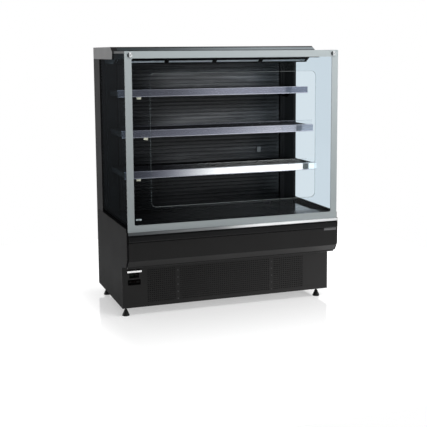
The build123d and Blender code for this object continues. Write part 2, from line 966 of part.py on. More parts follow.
def shelf_bracket(name, side, shelf_y0, shelf_y1):
    """A tapered arm under the shelf, with hooks that drop behind the upright's face."""
    x = side * upright_centre
    under_z = shelf_level(name) - shelf_sheet
    tip_y = shelf_y0 + bracket_short
    heel_y = upright_front_y - seat_gap
    outline = [
        (tip_y, under_z),
        (heel_y, under_z),
        (heel_y, under_z - bracket_back_height),
        (shelf_y1 - bracket_back_height, under_z - bracket_back_height),
        (tip_y, under_z - bracket_front_height),
    ]
    arm = across(outline, x - bracket_sheet / 2, x + bracket_sheet / 2)
    sheet_back = upright_front_y + upright_sheet + hook_clearance
    for index in range(bracket_hooks):
        z = first_slot_z + slot_pitch * (shelf_slot[name] - index) + slot_seat
        neck = block(x - bracket_sheet / 2, x + bracket_sheet / 2, heel_y, sheet_back, z, z + hook_height)
        hook = block(
            x - bracket_sheet / 2, x + bracket_sheet / 2,
            sheet_back, sheet_back + hook_sheet, z - hook_drop, z + hook_height,
        )
        arm = arm + neck + hook
    return arm


def price_rail(name):
    """The clear ticket rail along the shelf's front, with a low clear riser behind it."""
    z0, z1 = rail_span(name)
    y0 = behind(shelf_front[name])
    points = [
        (y0 + rail_bottom_lip, z0),
        (y0, z0),
        (y0, z1),
        (y0 + rail_top_lip, z1),
    ]
    profile = folded(points[::-1], rail_sheet)
    pieces = [across(profile, -shelf_half, shelf_half)]
    if riser_height[name] > 0:
        y_riser = y0 + rail_top_lip
        base_z_riser = shelf_level(name)
        pieces.append(
            block(
                -shelf_half, shelf_half, y_riser, y_riser + riser_sheet,
                base_z_riser, z1 + riser_height[name],
            )
        )
    return pieces


def shelf_lamp(name):
    """The lamp strip under a shelf's front edge, with its connector at the left."""
    top_z = shelf_level(name) - shelf_sheet
    y0 = behind(shelf_front[name]) + rail_sheet + shelf_sheet
    half = shelf_half - lamp_end_margin
    strip = block(-half, half, y0, y0 + lamp_depth, top_z - lamp_height, top_z)
    x = connector_x[name]
    z0 = rail_span(name)[0] - connector_size
    y_plug = behind(shelf_front[name]) + rail_bottom_lip + seat_gap
    plug = across(
        [
            (y_plug, top_z - lamp_height / 2),
            (y_plug + connector_size / 2, top_z - lamp_height / 2),
            (y_plug + connector_size, z0 + connector_size * 0.6),
            (y_plug + connector_size * 0.5, z0),
            (y_plug, z0),
        ],
        x - connector_length / 2, x + connector_length / 2,
    )
    return strip + plug


# ---------------------------------------------------------------- deck
grille_front_y = glass_back_y + grille_front_gap
deck_front_y = grille_front_y + grille_depth + seat_gap
deck_back_y = inner_back_y - seat_gap - rib_proud


def deck_tray(side):
    """A lift-out tray with turned-down edges, notched at the back round the shelf upright."""
    def layer(inset, z0, z1):
        x0 = deck_middle_gap / 2 + inset
        x1 = inner_half - deck_side_gap - inset
        notch_x = upright_centre - upright_width / 2 - seat_gap - inset
        notch_y = upright_front_y - seat_gap - inset
        y0 = deck_front_y + inset
        y1 = deck_back_y - inset
        body = block(*sorted((side * x0, side * x1)), y0, y1, z0, z1)
        return body - block(*sorted((side * notch_x, side * half_width)), notch_y, back_y, z0 - 1, z1 + 1)

    return layer(0, tray_seat_z, deck_z) - layer(deck_sheet, tray_seat_z - 1, deck_z - deck_sheet)


def return_grille():
    """The slotted cover that the air goes back in through, behind the front glass."""
    half = inner_half - deck_side_gap
    y0 = grille_front_y
    y1 = y0 + grille_depth
    cover = block(-half, half, y0, y1, tray_seat_z, grille_z)
    cover -= block(
        -half + grille_sheet, half - grille_sheet,
        y0 + grille_sheet, y1 - grille_sheet,
        tray_seat_z - 1, grille_z - grille_sheet,
    )
    columns = int((2 * half - 2 * grille_margin) // grille_pitch_x)
    slots = []
    for column in range(columns):
        x = (column - (columns - 1) / 2) * grille_pitch_x
        for row in range(grille_rows):
            y = y0 + grille_margin + grille_pitch_y * row
            slots.append(
                block(
                    x - grille_slot_length / 2, x + grille_slot_length / 2,
                    y, y + grille_slot_width,
                    grille_z - grille_sheet - 1, grille_z + 1,
                )
            )
    return cover.cut(*slots)


def tray_ledges():
    """The angle ledges on the well's side walls and a cross bar, which carry the trays."""
    ledges = [
        block(
            *sorted((side * (inner_half - ledge_width), side * inner_half)),
            glass_back_y + tub_wall, inner_back_y, tray_seat_z - deck_sheet, tray_seat_z,
        )
        for side in (-1, 1)
    ]
    bar_half = inner_half - ledge_width
    bars = [
        block(
            -bar_half, bar_half, y - ledge_width / 2, y + ledge_width / 2,
            tray_seat_z - ledge_width, tray_seat_z,
        )
        for y in (deck_front_y, inner_back_y - ledge_width)
    ]
    return ledges + bars


# ---------------------------------------------------------------- canopy
canopy_front_y = behind(canopy_front)
nose_y = canopy_front_y - nose_forward
nose_z = overall_height - nose_top_drop
lip_y = nose_y + lip_back
lip_z = nose_z - nose_height - lip_drop
discharge_back_y = lip_y + discharge_run
discharge_back_z = lip_z - discharge_drop


def canopy_body():
    """The top sheet, folded into the rounded nose and back under its lip, with closed ends."""
    points = [
        (back_y, overall_height),
        (canopy_front_y, overall_height),
        (nose_y, nose_z),
        (nose_y, nose_z - nose_height),
        (lip_y, lip_z),
    ]
    body = across(folded(points, canopy_sheet), -inner_half, inner_half)
    end_outline = [(back_panel_y, overall_height)] + points[1:] + [
        (discharge_back_y, discharge_back_z),
        (discharge_back_y, liner_z),
        (back_panel_y, liner_z),
    ]
    for x in (-inner_half, inner_half - canopy_sheet):
        body += across(end_outline, x, x + canopy_sheet)
    return body


def canopy_liner():
    """Insulation under the top, the pressed underside and the bars between the air outlets."""
    half = inner_half - canopy_sheet
    top = overall_height - canopy_sheet
    front = canopy_front_y + canopy_sheet
    insulation = block(-half, half, front, back_panel_y, top - canopy_insulation, top)
    underside = [
        (discharge_back_y, liner_z + outlet_flange),
        (discharge_back_y, liner_z),
        (inner_back_y + inner_sheet, liner_z),
    ]
    ceiling = across(folded(underside, canopy_sheet), -half, half)
    bars = []
    for index in range(discharge_panels + 1):
        x = (index / discharge_panels - 0.5) * discharge_width
        bars.append(outlet_slab(x - divider_width / 2, x + divider_width / 2, discharge_depth))
    return [insulation, ceiling] + bars


def outlet_slab(x0, x1, depth):
    """A slanting slab in the air outlet, from the canopy's lip to the ceiling's flange."""
    y0 = lip_y + canopy_sheet
    corners = [
        (y0, lip_z),
        (discharge_back_y, discharge_back_z),
        (discharge_back_y, discharge_back_z + depth),
        (y0, lip_z + depth),
    ]
    return across(corners, x0, x1)


def honeycomb(index):
    """One light-grey honeycomb in the air outlet."""
    x0 = (index / discharge_panels - 0.5) * discharge_width + divider_width / 2
    x1 = x0 + discharge_width / discharge_panels - divider_width
    return outlet_slab(x0, x1, honeycomb_depth)


# ---------------------------------------------------------------- refrigeration
def fan_wheel(centre, blade_radius):
    """A fan that blows to the back: hub, shaft and pitched blades."""
    x, y, z = centre
    hub = rod(0, 0, -fan_hub_depth / 2, fan_hub_radius, fan_hub_depth)
    shaft = rod(0, 0, fan_hub_depth / 2, fan_shaft_radius, fan_hub_depth / 2)
    wheel = hub + shaft
    reach = blade_radius - fan_hub_radius * 0.7
    for index in range(fan_blades):
        blade = Box(reach, blade_radius * 0.62, blade_sheet)
        blade = Pos(fan_hub_radius * 0.7 + reach / 2, 0, 0) * Rot(blade_pitch, 0, 0) * blade
        wheel += Rot(0, 0, index * 360 / fan_blades) * blade
    wheel = wheel & rod(0, 0, -blade_radius, blade_radius, 2 * blade_radius)
    return Pos(x, y, z) * Rot(-90, 0, 0) * wheel


def fan_motor(centre):
    """A small round motor behind a fan, bored for its shaft."""
    x, y, z = centre
    y0 = y + fan_hub_depth / 2 + seat_gap
    motor = rod(x, y0, z, motor_radius, motor_depth, (0, 1, 0))
    return motor - rod(x, y0 - 1, z, fan_shaft_radius + thread_clearance, fan_hub_depth / 2 + 2, (0, 1, 0))


def motor_arms(centre, plate_y, ring_radius):
    """The cross of arms that carries a fan motor from its plate."""
    x, y, z = centre
    y0 = y + fan_hub_depth / 2 + seat_gap + motor_depth * 0.4
    arm = motor_arm
    reach = ring_radius + arm
    cross = block(x - reach, x + reach, y0, y0 + arm, z - arm / 2, z + arm / 2)
    for side in (-1, 1):
        foot_x = x + side * (ring_radius + arm / 2)
        cross += block(foot_x - arm / 2, foot_x + arm / 2, plate_y, y0 + arm, z - arm / 2, z + arm / 2)
    return cross - rod(x, y0 - 1, z, motor_radius, arm + 2, (0, 1, 0))


well_top_z = tray_seat_z - ledge_width
evaporator_fan_z = (tub_inner_z + well_top_z) / 2
evaporator_fans = {
    "evaporator_fan_left": (-evaporator_fan_x, behind(fan_plate_setback), evaporator_fan_z),
    "evaporator_fan_right": (evaporator_fan_x, behind(fan_plate_setback), evaporator_fan_z),
}
condenser_y = behind(condenser_setback)
condenser_fan = (
    condenser_x,
    condenser_y + condenser_depth + condenser_fan_gap - fan_hub_depth / 2,
    tray_top_z + condenser_height / 2,
)


def evaporator_fan_plate():
    """The bulkhead across the well, with a round opening at each fan."""
    y0 = behind(fan_plate_setback) - fan_plate_sheet / 2
    plate = block(-inner_half, inner_half, y0, y0 + fan_plate_sheet, tub_inner_z, well_top_z)
    for x, y, z in evaporator_fans.values():
        plate -= rod(x, y0 - 1, z, fan_radius + fan_ring_gap, fan_plate_sheet + 2, (0, 1, 0))
    for centre in evaporator_fans.values():
        plate += motor_arms(centre, y0, fan_radius + fan_ring_gap)
    return plate


def finned_coil(x, y0, z0, width, depth, height, fins, rows):
    """A heat exchanger: thin fins on level tubes, with a plate at each end."""
    coil = []
    for index in range(fins):
        fin_x = x - width / 2 + (width - fin_sheet) * index / (fins - 1)
        coil.append(block(fin_x, fin_x + fin_sheet, y0, y0 + depth, z0, z0 + height))
    for row in range(rows):
        z = z0 + height * (row + 0.5) / rows
        for y in (y0 + depth * 0.3, y0 + depth * 0.7):
            coil.append(rod(x - width / 2 - 1, y, z, coil_tube_radius, width + 2, (1, 0, 0)))
    return coil[0].fuse(*coil[1:])


def condenser_shroud():
    """The sheet box behind the condenser, with the fan's round opening in it."""
    y0 = condenser_y + condenser_depth
    y1 = y0 + condenser_fan_gap
    half = condenser_width / 2
    z0 = tray_top_z
    z1 = z0 + condenser_height
    x, _, z = condenser_fan
    box = block(condenser_x - half, condenser_x + half, y0, y1, z0, z1)
    box -= block(
        condenser_x - half + tray_sheet, condenser_x + half - tray_sheet,
        y0 - 1, y1 - tray_sheet, z0 + tray_sheet, z1 - tray_sheet,
    )
    box -= rod(x, y0 - 1, z, fan_radius + fan_ring_gap, condenser_fan_gap + 2, (0, 1, 0))
    return box + motor_arms(condenser_fan, y1 - tray_sheet, fan_radius + fan_ring_gap)


def compressor():
    """The sealed compressor on its foot plate."""
    y = behind(compressor_setback)
    z0 = tray_top_z
    plate = block(
        compressor_x - compressor_radius, compressor_x + compressor_radius,
        y - compressor_radius, y + compressor_radius, z0, z0 + compressor_foot,
    )
    can = rod(compressor_x, y, z0 + compressor_foot, compressor_radius, compressor_height - compressor_foot)
    can = fillet(can.edges().filter_by(GeomType.CIRCLE), compressor_radius * 0.3)
    return plate + can


def pipe(points, radius):
    """A bent pipe along straight runs and round corners."""
    path = FilletPolyline(*points, radius=radius)
    start = Plane(origin=path @ 0, z_dir=path % 0)
    return sweep(start * Circle(pipe_radius), path)


def refrigerant_pipes():
    """Discharge pipe to the condenser and suction pipe down from the evaporator."""
    y = behind(compressor_setback)
    top = tray_top_z + compressor_height
    x_left = compressor_x - compressor_radius
    x_condenser = condenser_x + condenser_width / 2 + fin_sheet
    y_condenser = condenser_y + condenser_depth * 0.3
    z = tray_top_z + compressor_height * 0.6
    discharge = pipe(
        [
            (x_left, y, z),
            (x_left - discharge_side_run, y, z),
            (x_left - discharge_side_run, y_condenser, z),
            (x_condenser, y_condenser, z),
        ],
        discharge_bend,
    )
    suction = pipe(
        [
            (compressor_x, y, top),
            (compressor_x, y, top + suction_rise),
            (compressor_x + suction_side_run, y, top + suction_rise),
            (compressor_x + suction_side_run, y, tub_floor_z),
        ],
        suction_bend,
    )
    return [discharge, suction]


def condensate_pan():
    """The shallow pan that catches the defrost water, and the drain stub over it."""
    y = behind(compressor_setback)
    half_x = pan_width / 2
    half_y = pan_depth / 2
    pan = block(pan_x - half_x, pan_x + half_x, y - half_y, y + half_y, tray_top_z, tray_top_z + pan_height)
    pan -= block(
        pan_x - half_x + pan_wall, pan_x + half_x - pan_wall,
        y - half_y + pan_wall, y + half_y - pan_wall,
        tray_top_z + pan_wall, tray_top_z + pan_height + 1,
    )
    drain_z = tray_top_z + pan_height - drain_dip
    drain = rod(pan_x, y, drain_z, drain_radius, tub_floor_z - drain_z)
    drain -= rod(pan_x, y, drain_z - 1, drain_bore, tub_floor_z - drain_z + 2)
    return [pan, drain]


def electrical_box():
    """The terminal box behind the controls."""
    y0 = behind(box_setback)
    return block(
        box_x - box_width / 2, box_x + box_width / 2,
        y0, y0 + box_depth, tray_top_z, tray_top_z + box_height,
    )


def back_panels():
    """The foamed back, the vented sheet below it and the cable gland in that sheet."""
    top = overall_height - canopy_sheet
    back = block(-skin_inner, skin_inner, back_panel_y, back_y, tub_floor_z, side_panel_top_z)
    back += block(-inner_half, inner_half, back_panel_y, back_y, side_panel_top_z, top)
    y0 = back_y - tray_sheet
    sheet = block(-skin_inner, skin_inner, y0, back_y, base_z, tub_floor_z)
    slots = []
    for column in range(rear_vent_columns):
        x = (column - (rear_vent_columns - 1) / 2) * rear_vent_pitch_x
        for row in range(rear_vent_rows):
            z = rear_vent_bottom_z + rear_vent_pitch_z * row
            slots.append(
                block(
                    x - rear_vent_length / 2, x + rear_vent_length / 2,
                    y0 - 1, back_y + 1, z, z + rear_vent_height,
                )
            )
    gland_z = tray_top_z + box_height / 2
    slots.append(rod(box_x, y0 - 1, gland_z, gland_radius + seat_gap, tray_sheet + 2, (0, 1, 0)))
    sheet = sheet.cut(*slots)
    gland_y = y0 - gland_length
    through = gland_length + tray_sheet
    gland = rod(box_x, gland_y, gland_z, gland_radius, through, (0, 1, 0))
    gland -= rod(box_x, gland_y - 1, gland_z, gland_bore, through + 2, (0, 1, 0))
    return [back, sheet, gland]


def panel_screws():
    """The small dome-headed screws in the plinth's plain strips."""
    screws = []
    for strip in plain_strips:
        x = -half_width + strip
        for index in range(screw_count):
            z = screw_first_z + screw_pitch * index
            head = rod(x, plinth_y, z, screw_radius, screw_head, (0, -1, 0))
            screws.append(chamfer(head.faces().sort_by(Axis.Y)[0].edges(), screw_head * 0.45))
    return screws


# ---------------------------------------------------------------- all pieces
os.makedirs("parts", exist_ok=True)

tray = block(-skin_inner, skin_inner, plinth_y + plinth_sheet, back_y - tray_sheet, tray_z, tray_top_z)
save("base_frame", cross_rail(front_rail_y), cross_rail(rear_rail_y), long_rail(left_rail_x),
     long_rail(right_rail_x), tray)
for foot_name, (foot_x, foot_y) in foot_places.items():
    save(foot_name, foot(foot_x, foot_y))

save("lower_side_panels", lower_side_panel(-1), lower_side_panel(1))
save("left_end_column", end_column(-1, 0))
save("right_end_column", end_column(1, right_arm_drop))
save("insulated_tub", *insulated_tub(), *tray_ledges())
save("back_panels", *back_panels())
save("inner_back_panel", inner_back_panel())
save("corner_fillers", corner_filler(-1), corner_filler(1))
save("shelf_uprights", shelf_upright(-1), shelf_upright(1))
save("thermometer", thermometer())

save("front_frame", front_frame())
save("front_glass", front_glass())
save("frame_clamps", *[make(x, z) for make in (bolt, corner_clamp) for x, z in bolt_places()])
save("side_glasses", side_glass(-1), side_glass(1))
save("glass_channels", bottom_channel(-1), bottom_channel(1))
save("glass_top_trims", top_trim(-1), top_trim(1))

save("bright_trim", bright_trim())
save("bumper_rail", bumper_rail())
save("apron_panel", apron_panel())
save("blank_plate", blank_plate())
save("plinth_panel", plinth_panel())
save("panel_screws", *panel_screws())
save("control_hood", control_hood())
save("switch_plate", switch_plate())
for switch_name, switch_x in rocker_x.items():
    save(switch_name, rocker(switch_x))
save("controller_case", controller_case())
for key_index in range(key_count):
    save(f"controller_key_{key_index + 1}", controller_key(key_index))

for shelf_name in shelf_names:
    save(f"{shelf_name}_shelf", *shelf_panel(shelf_name))
    save(f"{shelf_name}_price_rail", *price_rail(shelf_name))
    save(f"{shelf_name}_shelf_lamp", shelf_lamp(shelf_name))

save("deck_tray_left", deck_tray(-1))
save("deck_tray_right", deck_tray(1))
save("return_grille", return_grille())

save("canopy_body", canopy_body())
save("canopy_liner", *canopy_liner())
save("honeycombs", *[honeycomb(index) for index in range(discharge_panels)])

save("evaporator_coil", finned_coil(0, behind(evaporator_front), tub_inner_z, evaporator_length,
                                    evaporator_depth, evaporator_height, fin_count, 4))
save("fan_plates", evaporator_fan_plate(), condenser_shroud())
for fan_name, fan_centre in evaporator_fans.items():
    save(fan_name, fan_wheel(fan_centre, fan_radius))
save("condenser_fan", fan_wheel(condenser_fan, fan_radius))
save("fan_motors", *[fan_motor(c) for c in list(evaporator_fans.values()) + [condenser_fan]])
save("condenser_coil", finned_coil(condenser_x, condenser_y, tray_top_z, condenser_width,
                                   condenser_depth, condenser_height, condenser_fins, 5))
save("compressor", compressor())
save("refrigerant_pipes", *refrigerant_pipes())
save("condensate_pan", *condensate_pan())
save("electrical_box", electrical_box())
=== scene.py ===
"""Open multideck display fridge: finishes, fine pieces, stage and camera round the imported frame."""

import math

import bmesh
import bpy
from bpy.props import FloatProperty, FloatVectorProperty, IntProperty, PointerProperty
from mathutils import Matrix, Vector


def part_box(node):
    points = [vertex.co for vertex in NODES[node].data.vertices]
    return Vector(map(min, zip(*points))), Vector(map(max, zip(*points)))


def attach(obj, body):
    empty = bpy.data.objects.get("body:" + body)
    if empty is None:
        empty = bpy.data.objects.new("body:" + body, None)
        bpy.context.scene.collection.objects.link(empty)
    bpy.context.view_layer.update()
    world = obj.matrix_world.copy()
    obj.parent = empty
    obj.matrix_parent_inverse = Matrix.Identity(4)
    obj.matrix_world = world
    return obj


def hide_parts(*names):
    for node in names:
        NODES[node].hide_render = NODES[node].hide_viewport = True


bl_info = {
    "name": "Display Fridge Dressing",
    "version": (1, 0, 0),
    "blender": (4, 5, 0),
    "location": "View3D > Sidebar > Fridge",
    "description": "Finishes and fine pieces of an open multideck display fridge",
    "category": "Object",
}

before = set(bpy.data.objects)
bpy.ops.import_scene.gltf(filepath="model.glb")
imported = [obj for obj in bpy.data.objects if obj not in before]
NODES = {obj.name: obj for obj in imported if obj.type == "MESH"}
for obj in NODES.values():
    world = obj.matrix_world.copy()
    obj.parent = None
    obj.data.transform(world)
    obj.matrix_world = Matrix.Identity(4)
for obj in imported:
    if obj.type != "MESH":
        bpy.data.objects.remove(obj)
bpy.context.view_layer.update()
ROOT = "cabinet"
SHELVES = ("top", "middle", "bottom")
# sizes of the cabinet that the pieces keep to, in metres
RAIL_HEIGHT = 0.041
ARM_DEPTH = 0.068
BOLT_INSET, BOLT_DROP = 0.030, 0.020
CUT_HALF, CUT_BOTTOM, CUT_TOP, CUT_RADIUS = 0.488, 0.635, 1.359, 0.028
OUTLET_DROP, OUTLET_RUN = 0.025, 0.044
PEEL_DEPTH = 0.00001
SHARP_ANGLE = math.radians(35)
BLACK_EDGE = (0.004, 0.004, 0.004)
# each bay of the back wall, for its painted light and the painted shadow under the shelf above: its foot,
# where it turns from pale to dark, and how pale it gets
WALL_BAYS = ((0.804, 0.82, 0.94, 0.5), (1.029, 0.99, 1.17, 1.6), (1.254, 1.29, 1.40, 1.05))


# ---------------------------------------------------------------- places in the frame
def corner(node, side):
    """The low (0) or high (1) corner of a node's box."""
    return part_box(node)[side]


FACE_Y = corner("front_frame", 0).y
PANE_Y = corner("front_glass", 1).y


# ---------------------------------------------------------------- settings
class FridgeFinishSettings(bpy.types.PropertyGroup):
    """Colours and textures of the cabinet's finishes."""

    shell: FloatVectorProperty(
        name="Shell paint", description="Powder coat of the sides and the canopy",
        subtype="COLOR", default=(0.020, 0.020, 0.021), min=0, max=1,
    )
    apron: FloatVectorProperty(
        name="Apron paint", description="Powder coat of the apron and the plinth",
        subtype="COLOR", default=(0.0055, 0.0053, 0.0053), min=0, max=1,
    )
    border: FloatVectorProperty(
        name="Frame grey", description="Grey of the border round the front glass",
        subtype="COLOR", default=(0.36, 0.40, 0.41), min=0, max=1,
    )
    rail: FloatVectorProperty(
        name="Price rail", description="Body colour of the smoky clear rails",
        subtype="COLOR", default=(0.75, 0.79, 0.98), min=0, max=1,
    )
    peel: FloatProperty(
        name="Peel size", description="Width of the powder coat's grain",
        subtype="DISTANCE", default=0.0012, min=0.0002, max=0.01,
    )


class FridgeGlassSettings(bpy.types.PropertyGroup):
    """The panes."""

    front_tint: FloatVectorProperty(
        name="Front tint", description="What one face of the front pane lets through",
        subtype="COLOR", default=(0.938, 0.949, 0.959), min=0, max=1,
    )
    side_tint: FloatVectorProperty(
        name="Side tint", description="What one face of a side pane lets through",
        subtype="COLOR", default=(0.81, 0.866, 0.90), min=0, max=1,
    )
    gloss: FloatProperty(
        name="Gloss", description="Share of light a pane's face mirrors when seen straight on",
        default=0.006, min=0.0, max=0.2,
    )
    rim_gloss: FloatProperty(
        name="Rim gloss", description="What is added to that share at the flattest angles",
        default=0.02, min=0.0, max=1.0,
    )


class FridgeRepeatSettings(bpy.types.PropertyGroup):
    """Counts and sizes of what repeats."""

    lens_keys: IntProperty(
        name="Display segments", description="Dark digit windows in the controller's lens",
        default=3, min=1, max=6,
    )
    cell: FloatProperty(
        name="Honeycomb cell", description="Width of a cell in the air outlet",
        subtype="DISTANCE", default=0.008, min=0.003, max=0.03,
    )


class FridgeStageSettings(bpy.types.PropertyGroup):
    """Camera and light."""

    eye: FloatVectorProperty(
        name="Eye", description="The camera's place", subtype="TRANSLATION",
        default=(-1.7444, -4.9651, 1.4681),
    )
    yaw: FloatProperty(
        name="Yaw", description="Turn of the view to the right", subtype="ANGLE",
        default=math.radians(19.302),
    )
    pitch: FloatProperty(
        name="Pitch", description="How far the view looks down", subtype="ANGLE",
        default=math.radians(7.592),
    )
    roll: FloatProperty(
        name="Roll", description="Turn about the view's own axis", subtype="ANGLE",
        default=math.radians(-0.42),
    )
    lens: FloatProperty(name="Lens", description="Focal length in millimetres", default=75.1, min=10)
    shift: FloatProperty(
        name="Shift", description="Vertical lens shift", default=-0.10, min=-0.2, max=0.2,
    )
    ambient: FloatProperty(name="Ambient", description="Strength of the even light", default=0.42, min=0)


# ---------------------------------------------------------------- shader writing
class Wire:
    """A shader socket that can stand in an expression."""

    def __init__(self, paint, socket):
        self.paint = paint
        self.socket = socket

    def maths(self, operation, *others):
        """A math node over this value and others."""
        node = self.paint.node("ShaderNodeMath", {"operation": operation})
        for index, value in enumerate((self,) + others):
            self.paint.feed(node.inputs[index], value)
        return Wire(self.paint, node.outputs[0])

    def __add__(self, other):
        return self.maths("ADD", other)

    __radd__ = __add__

    def __sub__(self, other):
        return self.maths("SUBTRACT", other)

    def __rsub__(self, other):
        return (self * -1.0).maths("ADD", other)

    def __mul__(self, other):
        return self.maths("MULTIPLY", other)

    __rmul__ = __mul__

    def __truediv__(self, other):
        return self.maths("DIVIDE", other)

    def __pow__(self, other):
        return self.maths("POWER", other)

    def clamp(self):
        """The value kept between 0 and 1."""
        return self.maths("MAXIMUM", 0.0).maths("MINIMUM", 1.0)

    def step(self, low, high):
        """A smooth rise from 0 at low to 1 at high."""
        node = self.paint.node(
            "ShaderNodeMapRange", {"interpolation_type": "SMOOTHSTEP", "clamp": True},
            {"Value": self, "From Min": low, "From Max": high},
        )
        return Wire(self.paint, node.outputs["Result"])


class Paint:
    """A material or world being written."""

    def __init__(self, owner):
        self.owner = owner
        owner.use_nodes = True
        self.tree = owner.node_tree
        self.tree.nodes.clear()

    def feed(self, socket, value):
        """Sets a socket to a number or colour, or links a wire to it."""
        if isinstance(value, Wire):
            self.tree.links.new(value.socket, socket)
        elif isinstance(value, bpy.types.NodeSocket):
            self.tree.links.new(value, socket)
        elif socket.type == "RGBA":
            socket.default_value = (*value[:3], 1.0)
        else:
            socket.default_value = value

    def node(self, kind, settings=None, sockets=None):
        """A node of a type, with its settings and then its sockets' values or links."""
        node = self.tree.nodes.new(kind)
        for name, value in (settings or {}).items():
            setattr(node, name, value)
        for name, value in (sockets or {}).items():
            self.feed(node.inputs[name], value)
        return node

    def wire(self, kind, output, settings=None, sockets=None):
        """One output of a new node, ready for expressions."""
        return Wire(self, self.node(kind, settings, sockets).outputs[output])

    def place(self, scale=(1, 1, 1)):
        """Object coordinates in metres, stretched by a scale."""
        where = self.node("ShaderNodeTexCoord").outputs["Object"]
        if scale == (1, 1, 1):
            return where
        return self.node("ShaderNodeMapping", sockets={"Vector": where, "Scale": scale}).outputs["Vector"]

    def axis(self, name):
        """One object coordinate, in metres."""
        return self.wire("ShaderNodeSeparateXYZ", name, sockets={"Vector": self.place()})

    def sideways(self):
        """1 on faces that look left or right, 0 on the others."""
        normal = self.node("ShaderNodeTexCoord").outputs["Normal"]
        side = self.wire("ShaderNodeSeparateXYZ", "X", sockets={"Vector": normal})
        return side.maths("ABSOLUTE").step(0.8, 0.95)

    def noise(self, size, detail=3.0, stretch=(1, 1, 1)):
        """Cloudy noise with features of about a size in metres."""
        return self.wire(
            "ShaderNodeTexNoise", "Fac",
            sockets={"Vector": self.place(stretch), "Scale": 1.0 / size, "Detail": detail},
        )

    def blend(self, factor, first, second):
        """A colour between two colours."""
        node = self.node("ShaderNodeMix", {"data_type": "RGBA"})
        self.feed(node.inputs["Factor"], factor)
        self.feed(node.inputs["A"], first)
        self.feed(node.inputs["B"], second)
        return node.outputs["Result"]

    def bump(self, height, depth):
        """A normal from a height that is depth metres at 1."""
        sockets = {"Height": height, "Distance": depth, "Strength": 1.0}
        return self.node("ShaderNodeBump", sockets=sockets).outputs["Normal"]

    def grain(self, size, depth=PEEL_DEPTH):
        """The normal of a fine even grain."""
        return self.bump(self.noise(size, 2.0), depth)

    def coat(self, colour, roughness, specular=0.5, normal=None, metallic=0.0):
        """A Principled shader; its roughness is kept between 0 and 1."""
        sockets = {
            "Base Color": colour, "Specular IOR Level": specular, "Metallic": metallic,
            "Roughness": roughness.clamp() if isinstance(roughness, Wire) else roughness,
        }
        if normal is not None:
            sockets["Normal"] = normal
        return self.node("ShaderNodeBsdfPrincipled", sockets=sockets)

    def matt(self, colour):
        """A matt shader."""
        return self.node("ShaderNodeBsdfDiffuse", sockets={"Color": colour})

    def glow(self, colour):
        """A shader that shows one plain colour."""
        return self.node("ShaderNodeEmission", sockets={"Color": colour, "Strength": 1.0})

    def clear(self, tint):
        """A shader that light goes straight through."""
        return self.node("ShaderNodeBsdfTransparent", sockets={"Color": tint})

    def plus(self, first, second):
        """Two shaders added up."""
        both = self.node("ShaderNodeAddShader")
        self.tree.links.new(first.outputs[0], both.inputs[0])
        self.tree.links.new(second.outputs[0], both.inputs[1])
        return both

    def layer(self, factor, under, over):
        """One shader laid over another by a factor."""
        mix = self.node("ShaderNodeMixShader")
        self.feed(mix.inputs[0], factor)
        self.tree.links.new(under.outputs[0], mix.inputs[1])
        self.tree.links.new(over.outputs[0], mix.inputs[2])
        return mix

    def finish(self, shader, name="ShaderNodeOutputMaterial"):
        """Links the shader to the output, and gives the material or world."""
        out = self.node(name)
        self.tree.links.new(shader.outputs[0], out.inputs["Surface"])
        return self.owner


def shade(colour, factor):
    """A colour made lighter or darker."""
    return tuple(min(1.0, c * factor) for c in colour)


def material(name):
    """A new empty material under a Paint."""
    return Paint(bpy.data.materials.new(name))


def painted(name, colour, roughness=0.5, specular=0.3, grain=0.0012, depth=PEEL_DEPTH):
    """Powder-coated or moulded surface: fine peel, faint cloudiness and wandering gloss."""
    paint = material(name)
    cloud = paint.noise(0.16, 2.0)
    dust = paint.noise(0.03, 4.0)
    blotch = (cloud * 0.7 + dust * 0.3).step(0.3, 0.7)
    tone = paint.blend(blotch, shade(colour, 0.9), shade(colour, 1.1))
    return paint.finish(paint.coat(
        tone, dust * 0.12 + (roughness - 0.06), specular, paint.grain(grain, depth)
    ))


def metal(name, colour, roughness=0.3, grain=0.0006, stretch=(0.02, 1, 1)):
    """Bare or anodised metal with its drawing lines along one axis."""
    paint = material(name)
    lines = paint.noise(grain, 3.0, stretch)
    cloud = paint.noise(0.08, 3.0)
    tone = paint.blend(cloud.step(0.3, 0.75), shade(colour, 0.92), shade(colour, 1.05))
    gloss = lines * 0.14 + cloud * 0.06 + (roughness - 0.1)
    return paint.finish(paint.coat(tone, gloss, normal=paint.bump(lines, 0.00002), metallic=1.0))


def glowing_sheen_pane(name, tint):
    """Flat clear glass with a faint painted sheen: a glow that is a little stronger towards its top."""
    paint = material(name)
    # painted sheen: the pane glows faintly, more towards its top
    painted_sheen = paint.blend(
        paint.axis("Z").step(0.6, 1.4), (0.0032, 0.0034, 0.0036), (0.0062, 0.0064, 0.0068)
    )
    return paint.finish(paint.plus(paint.clear(tint), paint.glow(painted_sheen)))


def pane(name, tint, straight, rim):
    """Flat clear glass: tinted light goes straight on, and a share of it is mirrored."""
    paint = material(name)
    facing = paint.wire("ShaderNodeLayerWeight", "Facing", sockets={"Blend": 0.5})
    gloss = paint.coat((0.85, 0.93, 0.96), 0.02, metallic=1.0)
    return paint.finish(paint.layer(facing ** 5.0 * rim + straight, paint.clear(tint), gloss))


# ---------------------------------------------------------------- mesh making
def dress(node_names, surface):
    """Puts a finish on CAD nodes."""
    for name in node_names:
        mesh = NODES[name].data
        mesh.materials.clear()
        mesh.materials.append(surface)


def piece(name, mesh, surface, body, replaces=()):
    """A finished mesh becomes a piece that rides a body."""
    obj = bpy.data.objects.new(name, mesh)
    bpy.context.scene.collection.objects.link(obj)
    mesh.materials.clear()
    mesh.materials.append(surface)
    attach(obj, body)
    if replaces:
        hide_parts(*replaces)
    return obj


